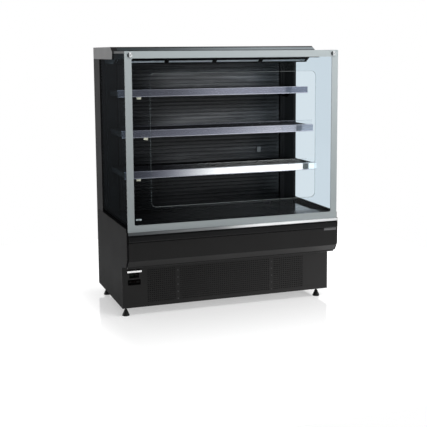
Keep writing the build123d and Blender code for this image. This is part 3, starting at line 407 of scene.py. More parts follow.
def mesh_from(name, build, bevel=0.0):
    """A mesh from a function that fills a bmesh, with its sharp edges rounded."""
    bm = bmesh.new()
    build(bm)
    bmesh.ops.remove_doubles(bm, verts=bm.verts, dist=1e-6)
    bmesh.ops.recalc_face_normals(bm, faces=bm.faces)
    if bevel > 0:
        sharp = [e for e in bm.edges if len(e.link_faces) == 2 and e.calc_face_angle(0.0) > SHARP_ANGLE]
        bmesh.ops.bevel(
            bm, geom=sharp, offset=bevel, segments=2, affect="EDGES", profile=0.5, clamp_overlap=True
        )
    mesh = bpy.data.meshes.new(name)
    bm.to_mesh(mesh)
    bm.free()
    mesh.shade_smooth()
    mesh.set_sharp_from_angle(angle=SHARP_ANGLE)
    return mesh


def add_box(bm, low, high):
    """A box between two corners."""
    size = Vector(high) - Vector(low)
    centre = (Vector(high) + Vector(low)) / 2
    matrix = Matrix.Translation(centre) @ Matrix.Diagonal((*size, 1.0))
    bmesh.ops.create_cube(bm, size=1.0, matrix=matrix)


def add_prism(bm, outline, x0, x1):
    """A closed outline of (y, z) points drawn from x0 to x1."""
    near = [bm.verts.new((x0, y, z)) for y, z in outline]
    far = [bm.verts.new((x1, y, z)) for y, z in outline]
    bm.faces.new(near)
    bm.faces.new(far[::-1])
    for i, (a, b) in enumerate(zip(near, far)):
        j = (i + 1) % len(near)
        bm.faces.new((a, b, far[j], near[j]))


def add_lathe(bm, profile, steps, matrix):
    """A profile of (radius, height) points turned about Z, then placed by a matrix."""
    rings = []
    for radius, height in profile:
        if radius < 1e-7:
            rings.append([bm.verts.new(matrix @ Vector((0, 0, height)))])
            continue
        rings.append([
            bm.verts.new(matrix @ Vector((
                radius * math.cos(math.tau * k / steps), radius * math.sin(math.tau * k / steps), height
            )))
            for k in range(steps)
        ])
    for lower, upper in zip(rings, rings[1:]):
        for k in range(steps):
            n = (k + 1) % steps
            if len(lower) == 1 and len(upper) == 1:
                continue
            if len(lower) == 1:
                bm.faces.new((lower[0], upper[n], upper[k]))
            elif len(upper) == 1:
                bm.faces.new((lower[k], lower[n], upper[0]))
            else:
                bm.faces.new((lower[k], lower[n], upper[n], upper[k]))


def array_tree():
    """Geometry Nodes tree that repeats an object's own mesh in rows and columns."""
    tree = bpy.data.node_groups.new("repeat_piece", "GeometryNodeTree")
    face = tree.interface
    face.new_socket("Geometry", in_out="INPUT", socket_type="NodeSocketGeometry")
    for name, kind in (
        ("Columns", "NodeSocketInt"), ("Rows", "NodeSocketInt"), ("Column Step", "NodeSocketVector"),
        ("Row Step", "NodeSocketVector"), ("Odd Row Shift", "NodeSocketVector"),
        ("Material", "NodeSocketMaterial"),
    ):
        face.new_socket(name, in_out="INPUT", socket_type=kind)
    face.new_socket("Geometry", in_out="OUTPUT", socket_type="NodeSocketGeometry")
    nodes, links = tree.nodes, tree.links
    given = nodes.new("NodeGroupInput").outputs

    def maths(operation, a, b, kind="ShaderNodeMath"):
        node = nodes.new(kind)
        node.operation = operation
        for socket, value in zip(node.inputs, (a, b)):
            if isinstance(value, bpy.types.NodeSocket):
                links.new(value, socket)
            else:
                socket.default_value = value
        return node.outputs[0]

    def scaled(vector, factor):
        node = nodes.new("ShaderNodeVectorMath")
        node.operation = "SCALE"
        links.new(vector, node.inputs[0])
        links.new(factor, node.inputs["Scale"])
        return node.outputs[0]

    index = nodes.new("GeometryNodeInputIndex").outputs[0]
    row = maths("FLOOR", maths("DIVIDE", index, given["Columns"]), 0.0)
    column = maths("SUBTRACT", index, maths("MULTIPLY", row, given["Columns"]))
    odd = maths("MODULO", row, 2.0)
    vector = "ShaderNodeVectorMath"
    place = maths("ADD", scaled(given["Column Step"], column), scaled(given["Row Step"], row), vector)
    place = maths("ADD", place, scaled(given["Odd Row Shift"], odd), vector)
    points = nodes.new("GeometryNodePoints")
    links.new(maths("MULTIPLY", given["Columns"], given["Rows"]), points.inputs["Count"])
    links.new(place, points.inputs["Position"])
    instances = nodes.new("GeometryNodeInstanceOnPoints")
    links.new(points.outputs[0], instances.inputs["Points"])
    links.new(given["Geometry"], instances.inputs["Instance"])
    real = nodes.new("GeometryNodeRealizeInstances")
    links.new(instances.outputs[0], real.inputs[0])
    paint = nodes.new("GeometryNodeSetMaterial")
    links.new(real.outputs[0], paint.inputs["Geometry"])
    links.new(given["Material"], paint.inputs["Material"])
    out = nodes.new("NodeGroupOutput")
    links.new(paint.outputs[0], out.inputs[0])
    return tree


def repeated(name, unit, surface, columns, rows, column_step, row_step, odd_shift=(0, 0, 0)):
    """The plain mesh that the repeat tree makes from one unit mesh."""
    tree = bpy.data.node_groups.get("repeat_piece") or array_tree()
    obj = bpy.data.objects.new(name + "_unit", unit)
    bpy.context.scene.collection.objects.link(obj)
    modifier = obj.modifiers.new("repeat", "NODES")
    modifier.node_group = tree
    values = {
        "Columns": columns, "Rows": rows, "Column Step": column_step, "Row Step": row_step,
        "Odd Row Shift": odd_shift, "Material": surface,
    }
    for item in tree.interface.items_tree:
        if item.in_out == "INPUT" and item.name in values:
            modifier[item.identifier] = values[item.name]
    bpy.context.view_layer.update()
    mesh = bpy.data.meshes.new_from_object(obj.evaluated_get(bpy.context.evaluated_depsgraph_get()))
    mesh.name = name
    obj.modifiers.remove(modifier)
    bpy.data.objects.remove(obj)
    return mesh


# ---------------------------------------------------------------- cabinet shell
class FRIDGE_OT_shell(bpy.types.Operator):
    """Finish the side walls, columns, canopy top, apron, plinth and bumper"""

    bl_idname = "fridge.shell"
    bl_label = "Shell"

    def execute(self, context):
        look = context.scene.fridge_finish
        dress(("lower_side_panels",), side_paint(look))
        dress(("left_end_column", "right_end_column"), end_column_paint(look))
        dress(("canopy_body",), canopy_paint(look))
        dress(("apron_panel",), apron_paint(look))
        plinth = spread_paint("plinth_powder_coat", look.apron, 0.9, 3.6, 0.3, look.peel)
        dress(("plinth_panel",), plinth)
        dress(("bumper_rail",), painted("bumper_rubber", (0.002, 0.0022, 0.0025), 0.3, 0.2, 0.0008))
        strip = strip_paint()
        dress(("bright_trim",), strip)
        self.trim_strip(strip)
        self.vent_shade_sheet()
        dress(("blank_plate",), painted("plate_satin", (0.10, 0.10, 0.104), 0.4, 0.4, 0.0008))
        dress(("insulated_tub",), painted("well_lining", (0.010, 0.010, 0.011), 0.5, 0.15))
        dress(("back_panels",), spangled("galvanised_back", (0.42, 0.43, 0.44)))
        return {"FINISHED"}

    def trim_strip(self, surface):
        """The bright strip with its flat face and finely rounded edges."""
        low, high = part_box("bright_trim")
        outline = [(high.y, low.z), (low.y, low.z), (low.y, high.z - 0.001), (high.y, high.z)]

        def build(bm):
            add_prism(bm, outline, low.x, high.x)

        mesh = mesh_from("trim_strip", build, 0.0012)
        piece("trim_strip", mesh, surface, ROOT, ("bright_trim",))

    def vent_shade_sheet(self):
        """A dark sheet behind the plinth's vents: painted shade for the dark inside the base."""
        back = corner("plinth_panel", 1).y

        def build(bm):
            add_box(bm, (-0.489, back + 0.002, 0.068), (0.482, back + 0.008, 0.268))

        # painted shade: a near-black sheet where the inside of the base is in shade
        shade_pad = painted("vent_shade_pad", (0.006, 0.006, 0.006), 0.9, 0.0, 0.0006, 0.0002)
        piece("vent_shade_sheet", mesh_from("vent_shade_sheet", build, 0.001), shade_pad, ROOT)


def spangled(name, colour):
    """Galvanised sheet: zinc crystals about 8 mm wide, each with its own tone and gloss."""
    paint = material(name)
    crystal = paint.node("ShaderNodeTexVoronoi", sockets={"Vector": paint.place(), "Scale": 120.0})
    own = paint.wire("ShaderNodeSeparateXYZ", "X", sockets={"Vector": crystal.outputs["Color"]})
    cloud = paint.noise(0.25, 3.0)
    tone = paint.blend((own * 0.7 + cloud * 0.3).clamp(), shade(colour, 0.86), shade(colour, 1.12))
    return paint.finish(paint.coat(
        tone, own * 0.12 + 0.38, normal=paint.bump(own, PEEL_DEPTH), metallic=0.9
    ))


def spread_paint(name, colour, left, right, specular, grain):
    """A coat that is deeper at the left than at the right, as the cabinet's front is lit."""
    paint = material(name)
    cloud = paint.noise(0.16, 2.0)
    across = paint.axis("X").step(-0.65, 0.65) + (cloud - 0.5) * 0.1
    tone = paint.blend(across.clamp(), shade(colour, left), shade(colour, right))
    return paint.finish(paint.coat(tone, cloud * 0.12 + 0.44, specular, paint.grain(grain)))


def apron_paint(look):
    """The apron's coat, with painted light and shade: darker at its left and lighter at its right, a
    paler painted reflection on its lower bevel, black painted shade along its top edge and under its lip,
    and its end faces painted lighter in the shell's colour.
    """
    paint = material("apron_powder_coat")
    height = paint.axis("Z")
    low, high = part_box("apron_panel")
    cloud = paint.noise(0.16, 2.0)
    # painted light and shade: the coat darker at the left and lighter at the right
    across = paint.axis("X").step(-0.65, 0.65)
    face = paint.blend(across, shade(look.apron, 0.7), shade(look.apron, 1.1))
    # painted reflection: the lower bevel paler, more so towards the right
    bevel = (1.0 - height.step(0.338, 0.348)) * across * height.step(low.z + 0.020, low.z + 0.026)
    front = paint.blend(bevel.clamp(), face, shade(look.apron, 4.5))
    # painted light: the end faces take the shell's lighter colour
    end = paint.sideways()
    # painted shade: black along the top edge and under the lip
    shade_band = height.step(high.z - 0.0035, high.z - 0.002)
    shade_band = shade_band + (1.0 - height.step(low.z + 0.006, low.z + 0.014)) * 0.7
    coat = paint.coat(
        paint.blend(end, front, shade(look.shell, 0.9)), cloud * 0.12 + 0.38, 0.26, paint.grain(look.peel)
    )
    black = paint.matt((0.003, 0.003, 0.003))
    return paint.finish(paint.layer((shade_band * (1.0 - end)).clamp(), coat, black))


def strip_paint():
    """The strip's brushed aluminium with a painted reflection: dull at its left and bright from its
    middle on.
    """
    paint = material("trim_aluminium")
    along = paint.axis("X")
    lines = paint.noise(0.0006, 3.0, (0.02, 1, 1))
    # painted reflection along the strip, with its brushed lines in it
    bright = along.step(-0.62, -0.05) * 0.16 + along.step(-0.15, 0.16) * 0.78
    bright = bright - along.step(0.35, 0.62) * 0.22 + (lines - 0.5) * 0.05
    tone = paint.blend(bright.clamp(), (0.072, 0.078, 0.082), (0.90, 0.92, 0.93))
    return paint.finish(paint.coat(tone, lines * 0.14 + 0.35, 0.05, paint.bump(lines, 0.00002)))


def side_paint(look):
    """The lower side's coat; its narrow top edge is matt black."""
    paint = material("charcoal_powder_coat")
    cloud = paint.noise(0.16, 2.0)
    tone = paint.blend(cloud, shade(look.shell, 0.58), shade(look.shell, 0.78))
    coat = paint.coat(tone, cloud * 0.1 + 0.55, 0.03, paint.grain(look.peel))
    top = corner("lower_side_panels", 1).z
    edge = paint.axis("Z").step(top - 0.0016, top - 0.0006)
    return paint.finish(paint.layer(edge, coat, paint.matt(BLACK_EDGE)))


def end_column_paint(look):
    """The end wall's coat: its outer face painted lighter towards its top, a light grey painted highlight
    on the outer face of the flat cap at its top, and a plain dark coat on its other faces.
    """
    paint = material("end_column_coat")
    height = paint.axis("Z")
    outer = paint.sideways()
    # painted highlight: light grey on the outer face of the cap
    cap_highlight = height.step(arm_bottom() - 0.001, arm_bottom() + 0.001) * outer
    cloud = paint.noise(0.2, 2.0)
    # painted light: the outer face lighter towards its top
    body = paint.blend(height.step(0.5, 1.45), shade(look.shell, 1.3), shade(look.shell, 3.0))
    inward = paint.blend(outer, (0.016, 0.016, 0.0165), body)
    tone = paint.blend(cap_highlight, inward, (0.50, 0.50, 0.505))
    tone = paint.blend(cloud * 0.25, tone, (0.0, 0.0, 0.0))
    return paint.finish(paint.coat(tone, cloud * 0.1 + 0.55, 0.05, paint.grain(look.peel)))


def canopy_paint(look):
    """The canopy's coat, with a painted highlight along its nose between edges in the plain coat, a
    weaker share of it lower down, and the highlight painted darker at the left and paler towards the
    right.
    """
    paint = material("canopy_coat")
    height = paint.axis("Z")
    top = corner("canopy_body", 1).z
    # painted highlight along the nose, and a weaker share of it below
    highlight_band = height.step(top - 0.022, top - 0.019) * (1.0 - height.step(top - 0.008, top - 0.004))
    highlight_band = highlight_band + (1.0 - height.step(top - 0.030, top - 0.026)) * 0.4
    cloud = paint.noise(0.2, 2.0, (0.3, 1, 1))
    # painted reflection: the highlight dark at the left and pale towards the right
    pale = paint.blend(
        paint.axis("X").step(-0.6, 0.35), (0.036, 0.045, 0.049), (0.25, 0.28, 0.295)
    )
    tone = paint.blend(highlight_band.clamp(), look.shell, pale)
    return paint.finish(paint.coat(tone, cloud * 0.1 + 0.5, 0.03, paint.grain(look.peel)))


def arm_bottom():
    """Height of the end arm's underside, where the side glass stops."""
    return corner("left_end_column", 1).z - ARM_DEPTH


# ---------------------------------------------------------------- front frame and glass
class FRIDGE_OT_glazing(bpy.types.Operator):
    """Finish the grey border, the panes, their channels, trims, bolts and clamps"""

    bl_idname = "fridge.glazing"
    bl_label = "Frame and glass"

    def execute(self, context):
        look, glass = context.scene.fridge_finish, context.scene.fridge_glass
        dress(("front_frame",), border_paint(look))
        dress(("front_glass",), pane("front_pane", glass.front_tint, glass.gloss, glass.rim_gloss))
        dress(("side_glasses",), glowing_sheen_pane("side_pane", glass.side_tint))
        dress(("glass_channels",), painted("channel_black", (0.005, 0.005, 0.0055), 0.6, 0.0, 0.0008))
        dress(("glass_top_trims",), painted("top_trim", (0.20, 0.205, 0.21), 0.5, 0.1))
        steel = metal("bolt_steel", (0.80, 0.81, 0.82), 0.13, 0.001, (1, 1, 1))
        dress(("frame_clamps",), steel)
        self.bolt_domes(dome_paint())
        self.pane_clip()
        self.edge_line()
        return {"FINISHED"}

    def bolt_domes(self, steel):
        """Domed heads with a hexagon socket over the two corner bolts; the socket is a dark hexagon,
        painted shade for its hollow.
        """
        # painted shade: the dark hexagon stands for the socket's hollow
        dark = painted("socket_shade", (0.10, 0.10, 0.10), 0.5, 0.1)
        high = corner("front_frame", 1)
        reach = high.x - BOLT_INSET
        facing = Matrix.Rotation(math.radians(90), 4, "X")

        def both(profile, steps):
            def build(bm):
                for x in (-reach, reach):
                    place = Matrix.Translation((x, FACE_Y - 0.0049, high.z - BOLT_DROP))
                    add_lathe(bm, profile, steps, place @ facing)

            return build

        radius, rise = 0.0141, 0.0052
        dome = [(radius, -0.004), (radius, 0.0)]
        for degrees in range(15, 75, 10):
            turn = math.radians(degrees)
            dome.append((radius * math.cos(turn), rise * math.sin(turn)))
        dome += [(0.0030, 0.0050), (0.0, 0.0034)]
        socket = [(0.0026, 0.0047), (0.0026, 0.0053), (0.0, 0.0053)]
        piece("bolt_domes", mesh_from("bolt_domes", both(dome, 40)), steel, ROOT)
        piece("bolt_sockets", mesh_from("bolt_sockets", both(socket, 6)), dark, ROOT)

    def pane_clip(self):
        """The small bright clip behind the pane's lower left corner."""
        surface = painted("clip_white", (0.50, 0.55, 0.55), 0.4, 0.4)

        def build(bm):
            add_box(bm, (-0.574, PANE_Y, 0.566), (-0.544, PANE_Y + 0.012, 0.574))

        piece("pane_clip", mesh_from("pane_clip", build, 0.0015), surface, ROOT)

    def edge_line(self):
        """The polished edge of the cut-out, drawn as a fine line, a painted highlight palest along its
        top.
        """
        y0, y1 = (corner("front_glass", side).y for side in (0, 1))
        width = 0.0012

        def build(bm):
            loops = []
            for inset in (0.0, width):
                for y in (y0 + 0.0003, y1 - 0.0003):
                    outline = rounded_outline(
                        CUT_HALF - inset, CUT_BOTTOM + inset, CUT_TOP - inset, CUT_RADIUS - inset
                    )
                    loops.append([bm.verts.new((x, y, z)) for x, z in outline])
            count = len(loops[0])
            for a, b in ((0, 1), (1, 3), (3, 2), (2, 0)):
                for i in range(count):
                    j = (i + 1) % count
                    bm.faces.new((loops[a][i], loops[a][j], loops[b][j], loops[b][i]))

        piece("cutout_edge", mesh_from("cutout_edge", build), edge_paint(), ROOT)


def edge_paint():
    """Polished glass edge: mostly clear, with a painted highlight that is whiter at the top and the foot
    of the cut-out.
    """
    paint = material("polished_edge")
    cloud = paint.noise(0.04, 3.0)
    height = paint.axis("Z")
    # painted highlight: the pale line covers more at the top and the foot of the cut-out
    cover = height.step(1.345, 1.357) * 0.42 + (1.0 - height.step(0.637, 0.66)) * 0.42 + 0.15
    colour = (0.28, 0.31, 0.31)
    tone = paint.blend(cloud, shade(colour, 0.94), shade(colour, 1.06))
    body = paint.coat(tone, cloud * 0.06 + 0.27)
    return paint.finish(paint.layer((cover + cloud * 0.1).clamp(), paint.clear((0.93, 0.96, 0.97)), body))


def dome_paint():
    """Polished bolt heads with a painted reflection: pale, with a dark crescent on their left."""
    paint = material("bolt_steel_dome")
    along = paint.axis("X")
    shift = along - along.maths("SIGN") * (corner("front_frame", 1).x - BOLT_INSET)
    cloud = paint.noise(0.004, 2.0)
    # painted reflection: a dark crescent at each head's left, pale over the rest
    tone = paint.blend(shift.step(-0.0095, -0.002), (0.05, 0.055, 0.06), (0.72, 0.75, 0.76))
    return paint.finish(paint.coat(
        tone, cloud * 0.1 + 0.2, 0.3, paint.bump(cloud, PEEL_DEPTH),
        (shift.step(0.001, 0.008) * 0.7 + 0.1).clamp(),
    ))


def border_paint(look):
    """The border's grey, with painted shade deeper towards its foot and its left and painted light
    towards its top and its right.
    """
    paint = material("frame_grey")
    # painted light and shade: lighter towards the top and the right, deeper towards the foot and the left
    rise = paint.axis("Z").step(0.45, 1.5) * 0.75 + paint.axis("X").step(-0.6, 0.6) * 0.25
    cloud = paint.noise(0.16, 2.0)
    tone = paint.blend(rise + (cloud - 0.5) * 0.1, shade(look.border, 0.70), shade(look.border, 1.15))
    return paint.finish(paint.coat(tone, cloud * 0.1 + 0.33, 0.4, paint.grain(0.0015)))


def rounded_outline(half, bottom, top, radius, steps=8):
    """Points of a rounded rectangle in X and Z, centred on X."""
    points = []
    corners = (
        (half - radius, top - radius, 0), (-half + radius, top - radius, 90),
        (-half + radius, bottom + radius, 180), (half - radius, bottom + radius, 270),
    )
    for x, z, start in corners:
        for k in range(steps + 1):
            angle = math.radians(start + 90 * k / steps)
            points.append((x + radius * math.cos(angle), z + radius * math.sin(angle)))
    return points


# ---------------------------------------------------------------- inside
class FRIDGE_OT_back_wall(bpy.types.Operator):
    """Finish the ribbed back wall, its posts, uprights and thermometer"""

    bl_idname = "fridge.back_wall"
    bl_label = "Back wall"

    def execute(self, context):
        dress(("inner_back_panel",), ribbed_paint())
        dress(("corner_fillers",), painted("post_black", (0.006, 0.0065, 0.007), 0.55, 0.1))
        dress(("shelf_uprights",), painted("upright_black", (0.010, 0.010, 0.011), 0.4, 0.2))
        dress(("thermometer",), painted("thermometer_grey", (0.30, 0.32, 0.33), 0.4, 0.4, 0.0008))
        return {"FINISHED"}


def ribbed_paint():
    """Satin paint of the pressed back wall, with its wiped streaks and painted light and shade: pale low
    in each bay, a painted shadow under each shelf, and darker towards its left and right ends.
    """
    paint = material("back_wall_satin")
    height, along = paint.axis("Z"), paint.axis("X")
    cloud = paint.noise(0.3, 2.0, (0.4, 1, 1))
    streak = paint.noise(0.012, 3.0, (0.03, 1, 1))
    # painted light low in each bay, painted shadow under the shelf above it
    lit = 0.12
    for foot, pale_to, dark_from, paleness in WALL_BAYS:
        open_part = height.step(foot - 0.002, foot + 0.002) * (1.0 - height.step(pale_to, dark_from))
        lit = open_part * paleness + lit
    # painted shade: at the left the painted bays give way to one even level above the deck
    inward = along.step(-0.55, -0.10)
    rise = lit * inward + (1.0 - inward) * height.step(0.75, 0.85) * 0.36
    # painted shade towards the left and right ends of the wall
    reach = (along.step(-0.52, -0.12) * 0.86 + 0.14) * (1.0 - along.step(0.28, 0.48) * 0.72)
    # real wiped streaks and cloudiness, scaled by the painted light and shade
    streaks_and_shade = (streak.step(0.35, 0.75) * 0.45 + cloud * 0.3 + 0.36) * (rise + 0.02) * reach
    tone = paint.blend(streaks_and_shade.clamp(), (0.004, 0.005, 0.006), (0.30, 0.315, 0.335))
    return paint.finish(paint.coat(
        tone, streak * 0.15 + 0.2, normal=paint.bump(streak, 0.0001), metallic=0.35
    ))


class FRIDGE_OT_shelves(bpy.types.Operator):
    """Finish the shelves, their price rails with bright edge beads, and the lamp strips"""

    bl_idname = "fridge.shelves"
    bl_label = "Shelves"

    def execute(self, context):
        look = context.scene.fridge_finish
        shelf = painted("shelf_black", (0.006, 0.006, 0.0065), 0.6, 0.02, look.peel)
        lamp = painted("lamp_cream", (0.85, 0.83, 0.66), 0.4, 0.4, 0.002)
        # the beads' rise from left to right is a painted highlight
        bead = spread_paint("rail_edge_bead", (0.30, 0.31, 0.36), 0.60, 2.3, 0.4, 0.004)
        for level in SHELVES:
            dress((f"{level}_shelf",), shelf)
            dress((f"{level}_price_rail",), rail_paint(level, look))
            dress((f"{level}_shelf_lamp",), lamp)
            self.beads(level, bead)
        return {"FINISHED"}

    def beads(self, level, surface):
        """Rounded beads along the rail's top and bottom edges."""
        low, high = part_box(f"{level}_price_rail")
        back = low.y + 0.001

        def build(bm):
            for middle, radius in ((low.z + 0.0022, 0.0022), (low.z + RAIL_HEIGHT - 0.0011, 0.0011)):
                ring = []
                for k in range(7):
                    turn = math.radians(-90 + 180 * k / 6)
                    y = low.y + 0.0002 - radius * 0.6 * math.cos(turn)
                    ring.append((y, middle + radius * math.sin(turn)))
                add_prism(bm, ring + [(back, middle + radius), (back, middle - radius)], low.x, high.x)

        name = f"{level}_rail_beads"
        piece(name, mesh_from(name, build), surface, f"{level}_shelf")


# each rail's painted reflection: its shade at its left and right, where it brightens between, and its
# roughness
RAIL_LOOKS = {
    "top": ((0.54, 0.88), (-0.30, 0.08), 0.10),
    "middle": ((0.52, 1.10), (-0.10, 0.45), 0.10),
    "bottom": ((0.42, 1.28), (-0.42, 0.05), 0.05),
}


def rail_paint(level, look):
    """Smoky rail that mirrors the studio, with a painted reflection that brightens towards its right, and
    a nearly clear riser with a fine top line over it.
    """
    paint = material(f"{level}_rail_smoky_plastic")
    low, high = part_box(f"{level}_price_rail")
    shades, ends, roughness = RAIL_LOOKS[level]
    height = paint.axis("Z")
    rail_top = low.z + RAIL_HEIGHT
    cloud = paint.noise(0.05, 3.0, (0.1, 1, 1))
    riser = height.step(rail_top + 0.0004, rail_top + 0.0012)
    line = height.step(high.z - 0.0022, high.z - 0.0016) * riser
    cover = (1.0 - riser) * 0.90 + riser * 0.02 + line * (0.12 if level == "bottom" else 0.30)
    # painted reflection: the rail darker at its left and brighter towards its right
    rise = paint.axis("X").step(*ends)
    tone = paint.blend(rise, shade(look.rail, shades[0]), shade(look.rail, shades[1]))
    streak = paint.noise(0.008, 2.0, (0.02, 1, 1)).step(0.35, 0.7) * 0.07
    body = paint.coat(
        paint.blend(streak, tone, (0.30, 0.30, 0.50)), cloud * 0.03 + roughness, metallic=0.88
    )
    return paint.finish(paint.layer(cover.clamp(), paint.clear((0.975, 0.98, 0.985)), body))


class FRIDGE_OT_deck(bpy.types.Operator):
    """Finish the glossy deck trays and the return grille"""

    bl_idname = "fridge.deck"
    bl_label = "Deck"

    def execute(self, context):
        deck = painted("deck_gloss", (0.004, 0.004, 0.0045), 0.1, 0.5, 0.02)
        dress(("deck_tray_left", "deck_tray_right"), deck)
        dress(("return_grille",), painted("grille_gloss", (0.007, 0.007, 0.0075), 0.2, 0.5, 0.02))
        return {"FINISHED"}


class FRIDGE_OT_canopy(bpy.types.Operator):
    """Make the honeycomb air outlets and finish the canopy's inside"""

    bl_idname = "fridge.canopy"
    bl_label = "Canopy"

    def execute(self, context):
        dark = painted("canopy_inside", (0.004, 0.004, 0.0045), 0.6, 0.02)
        dress(("canopy_liner",), dark)
        # painted shade: the base is darker than the cell walls, for the shade at the bottoms of the cells
        base = painted("honeycomb_base_shade", (0.40, 0.44, 0.46), 0.6, 0.1, 0.002)
        dress(("honeycombs",), base)
        self.lips(dark)
        self.cells(context.scene.fridge_repeat)
        return {"FINISHED"}

    def slope(self):
        """The outlet's front and back edge and the directions along its slope and out of it."""
        low = corner("honeycombs", 0)
        length = math.hypot(OUTLET_DROP, OUTLET_RUN)
        front = Vector((0.0, low.y, low.z + OUTLET_DROP))
        along = Vector((0.0, OUTLET_RUN / length, -OUTLET_DROP / length))
        out = Vector((0.0, -OUTLET_DROP / length, -OUTLET_RUN / length))
        return front, along, out, length

    def lips(self, surface):
        """Dark lips over the outlet's front and back edge, and the cover at its left end."""
        front, along, out, length = self.slope()
        half = corner("honeycombs", 1).x

        def strip(bm, start, stop, x0, x1):
            base = front + out * 0.0005
            corners = [base + along * (length * start), base + along * (length * stop)]
            corners += [corners[1] + out * 0.004, corners[0] + out * 0.004]
            add_prism(bm, [(c.y, c.z) for c in corners], x0, x1)

        def build(bm):
            strip(bm, 0.0, 0.42, -half, half)
            strip(bm, 0.94, 1.0, -half, half)
            strip(bm, 0.43, 0.93, -half, -half + 0.050)
            for k in (1, 2, 3):
                joint = -half + half * k / 2
                strip(bm, 0.43, 0.93, joint - 0.013, joint + 0.013)

        piece("outlet_lips", mesh_from("outlet_lips", build, 0.0008), surface, ROOT)

    def cells(self, repeat):
        """Rows of hexagon walls on the slanted face of the outlet."""
        front, along, out, length = self.slope()
        half = corner("honeycombs", 1).x
        size = repeat.cell
        wall = painted("honeycomb_wall", (0.78, 0.84, 0.88), 0.5, 0.2, 0.002)
        start = front + along * (length * 0.50) + Vector((-half + 0.056, 0, 0))

        def build(bm):
            rings = []
            for radius, rise in ((0.577, 0.0006), (0.577, 0.0030), (0.500, 0.0030), (0.500, 0.0006)):
                rings.append([
                    bm.verts.new(
                        start + out * rise + along * (size * radius * math.cos(math.radians(60 * k)))
                        + Vector((size * radius * math.sin(math.radians(60 * k)), 0, 0))
                    )
                    for k in range(6)
                ])
            for a, b in zip(rings, rings[1:]):
                for k in range(6):
                    n = (k + 1) % 6
                    bm.faces.new((a[k], a[n], b[n], b[k]))

        mesh = repeated(
            "honeycomb_cells", mesh_from("honeycomb_cell", build), wall,
            int((half * 2 - 0.068) / size), int(length * 0.34 / (size * 0.866)) + 1,
            (size, 0, 0), tuple(along * size * 0.866), (size / 2, 0, 0),
        )
        piece("honeycomb_cells", mesh, wall, ROOT)


class FRIDGE_OT_controls(bpy.types.Operator):
    """Finish the control hood, switches, controller and keys"""

    bl_idname = "fridge.controls"
    bl_label = "Controls"

    def execute(self, context):
        dress(("control_hood",), metal("hood_steel", (0.92, 0.92, 0.92), 0.25))
        dress(("switch_plate",), painted("switch_black", (0.0012, 0.0012, 0.0012), 0.5, 0.0))
        dress(("main_switch",), painted("rocker_green_black", (0.0015, 0.004, 0.002), 0.3, 0.1))
        dress(("light_switch",), painted("rocker_black", (0.0015, 0.0015, 0.0015), 0.3, 0.1))
        dress(("controller_case",), painted("controller_black", (0.001, 0.001, 0.001), 0.4, 0.0))
        keys = tuple(f"controller_key_{i}" for i in (1, 2, 3))
        dress(keys, painted("key_grey", (0.004, 0.004, 0.0045), 0.5, 0.0))
        dress(("panel_screws",), painted("screw_grey", (0.045, 0.045, 0.046), 0.4, 0.3))
        self.lens(context.scene.fridge_repeat)
        return {"FINISHED"}

    def lens(self, repeat):
        """The controller's smoked window and the unlit digit windows under it."""
        low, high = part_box("controller_case")
        middle = (low.x + high.x) / 2
        smoked = painted("lens_smoked", (0.0012, 0.001, 0.001), 0.2, 0.06, 0.01, 0.0)
        dull = painted("digit_window", (0.003, 0.0015, 0.0015), 0.5, 0.0, 0.002, 0.0)

        def plate(x0, x1, out, back, drop, foot):
            """A thin plate before or in the case's face, between two distances under its top."""
            return lambda bm: add_box(
                bm, (middle + x0, low.y - out, high.z - foot), (middle + x1, low.y + back, high.z - drop)
            )

        window = mesh_from("controller_lens", plate(-0.030, 0.030, 0.0004, 0.0004, 0.003, 0.0165), 0.0003)
        piece("controller_lens", window, smoked, ROOT)
        unit = mesh_from("digit_window", plate(-0.018, -0.0105, 0.0006, -0.0003, 0.005, 0.0145))
        mesh = repeated("digit_windows", unit, dull, repeat.lens_keys, 1, (0.0105, 0, 0), (0, 0, 0))
        piece("digit_windows", mesh, dull, ROOT)


class FRIDGE_OT_machine(bpy.types.Operator):
    """Finish the feet and the machinery in the base and the well"""

    bl_idname = "fridge.machine"
    bl_label = "Machine and feet"

    def execute(self, context):
        feet = tuple(f"foot_{end}_{side}" for end in ("front", "rear") for side in ("left", "right"))
        dress(feet, painted("foot_black", (0.010, 0.010, 0.010), 0.45, 0.4, 0.001))
        dress(("condensate_pan",), spangled("galvanised_sheet", (0.45, 0.46, 0.47)))
        dress(("base_frame", "fan_plates"), painted("base_black", (0.010, 0.010, 0.0105), 0.6, 0.1))
        dress(("evaporator_coil",), metal("fin_aluminium", (0.62, 0.63, 0.64), 0.35))
        dress(("condenser_coil",), painted("condenser_black", (0.010, 0.010, 0.010), 0.6, 0.1))
        dress(("fan_motors", "compressor"), painted("motor_enamel", (0.008, 0.008, 0.009), 0.4, 0.2))
        fans = ("evaporator_fan_left", "evaporator_fan_right", "condenser_fan")
        dress(fans, painted("fan_black", (0.015, 0.015, 0.016), 0.45, 0.4))
        dress(("refrigerant_pipes",), metal("copper_pipe", (0.42, 0.22, 0.14), 0.35, 0.002, (1, 1, 1)))
        dress(("electrical_box",), painted("box_grey", (0.03, 0.03, 0.032), 0.5, 0.2))
        return {"FINISHED"}


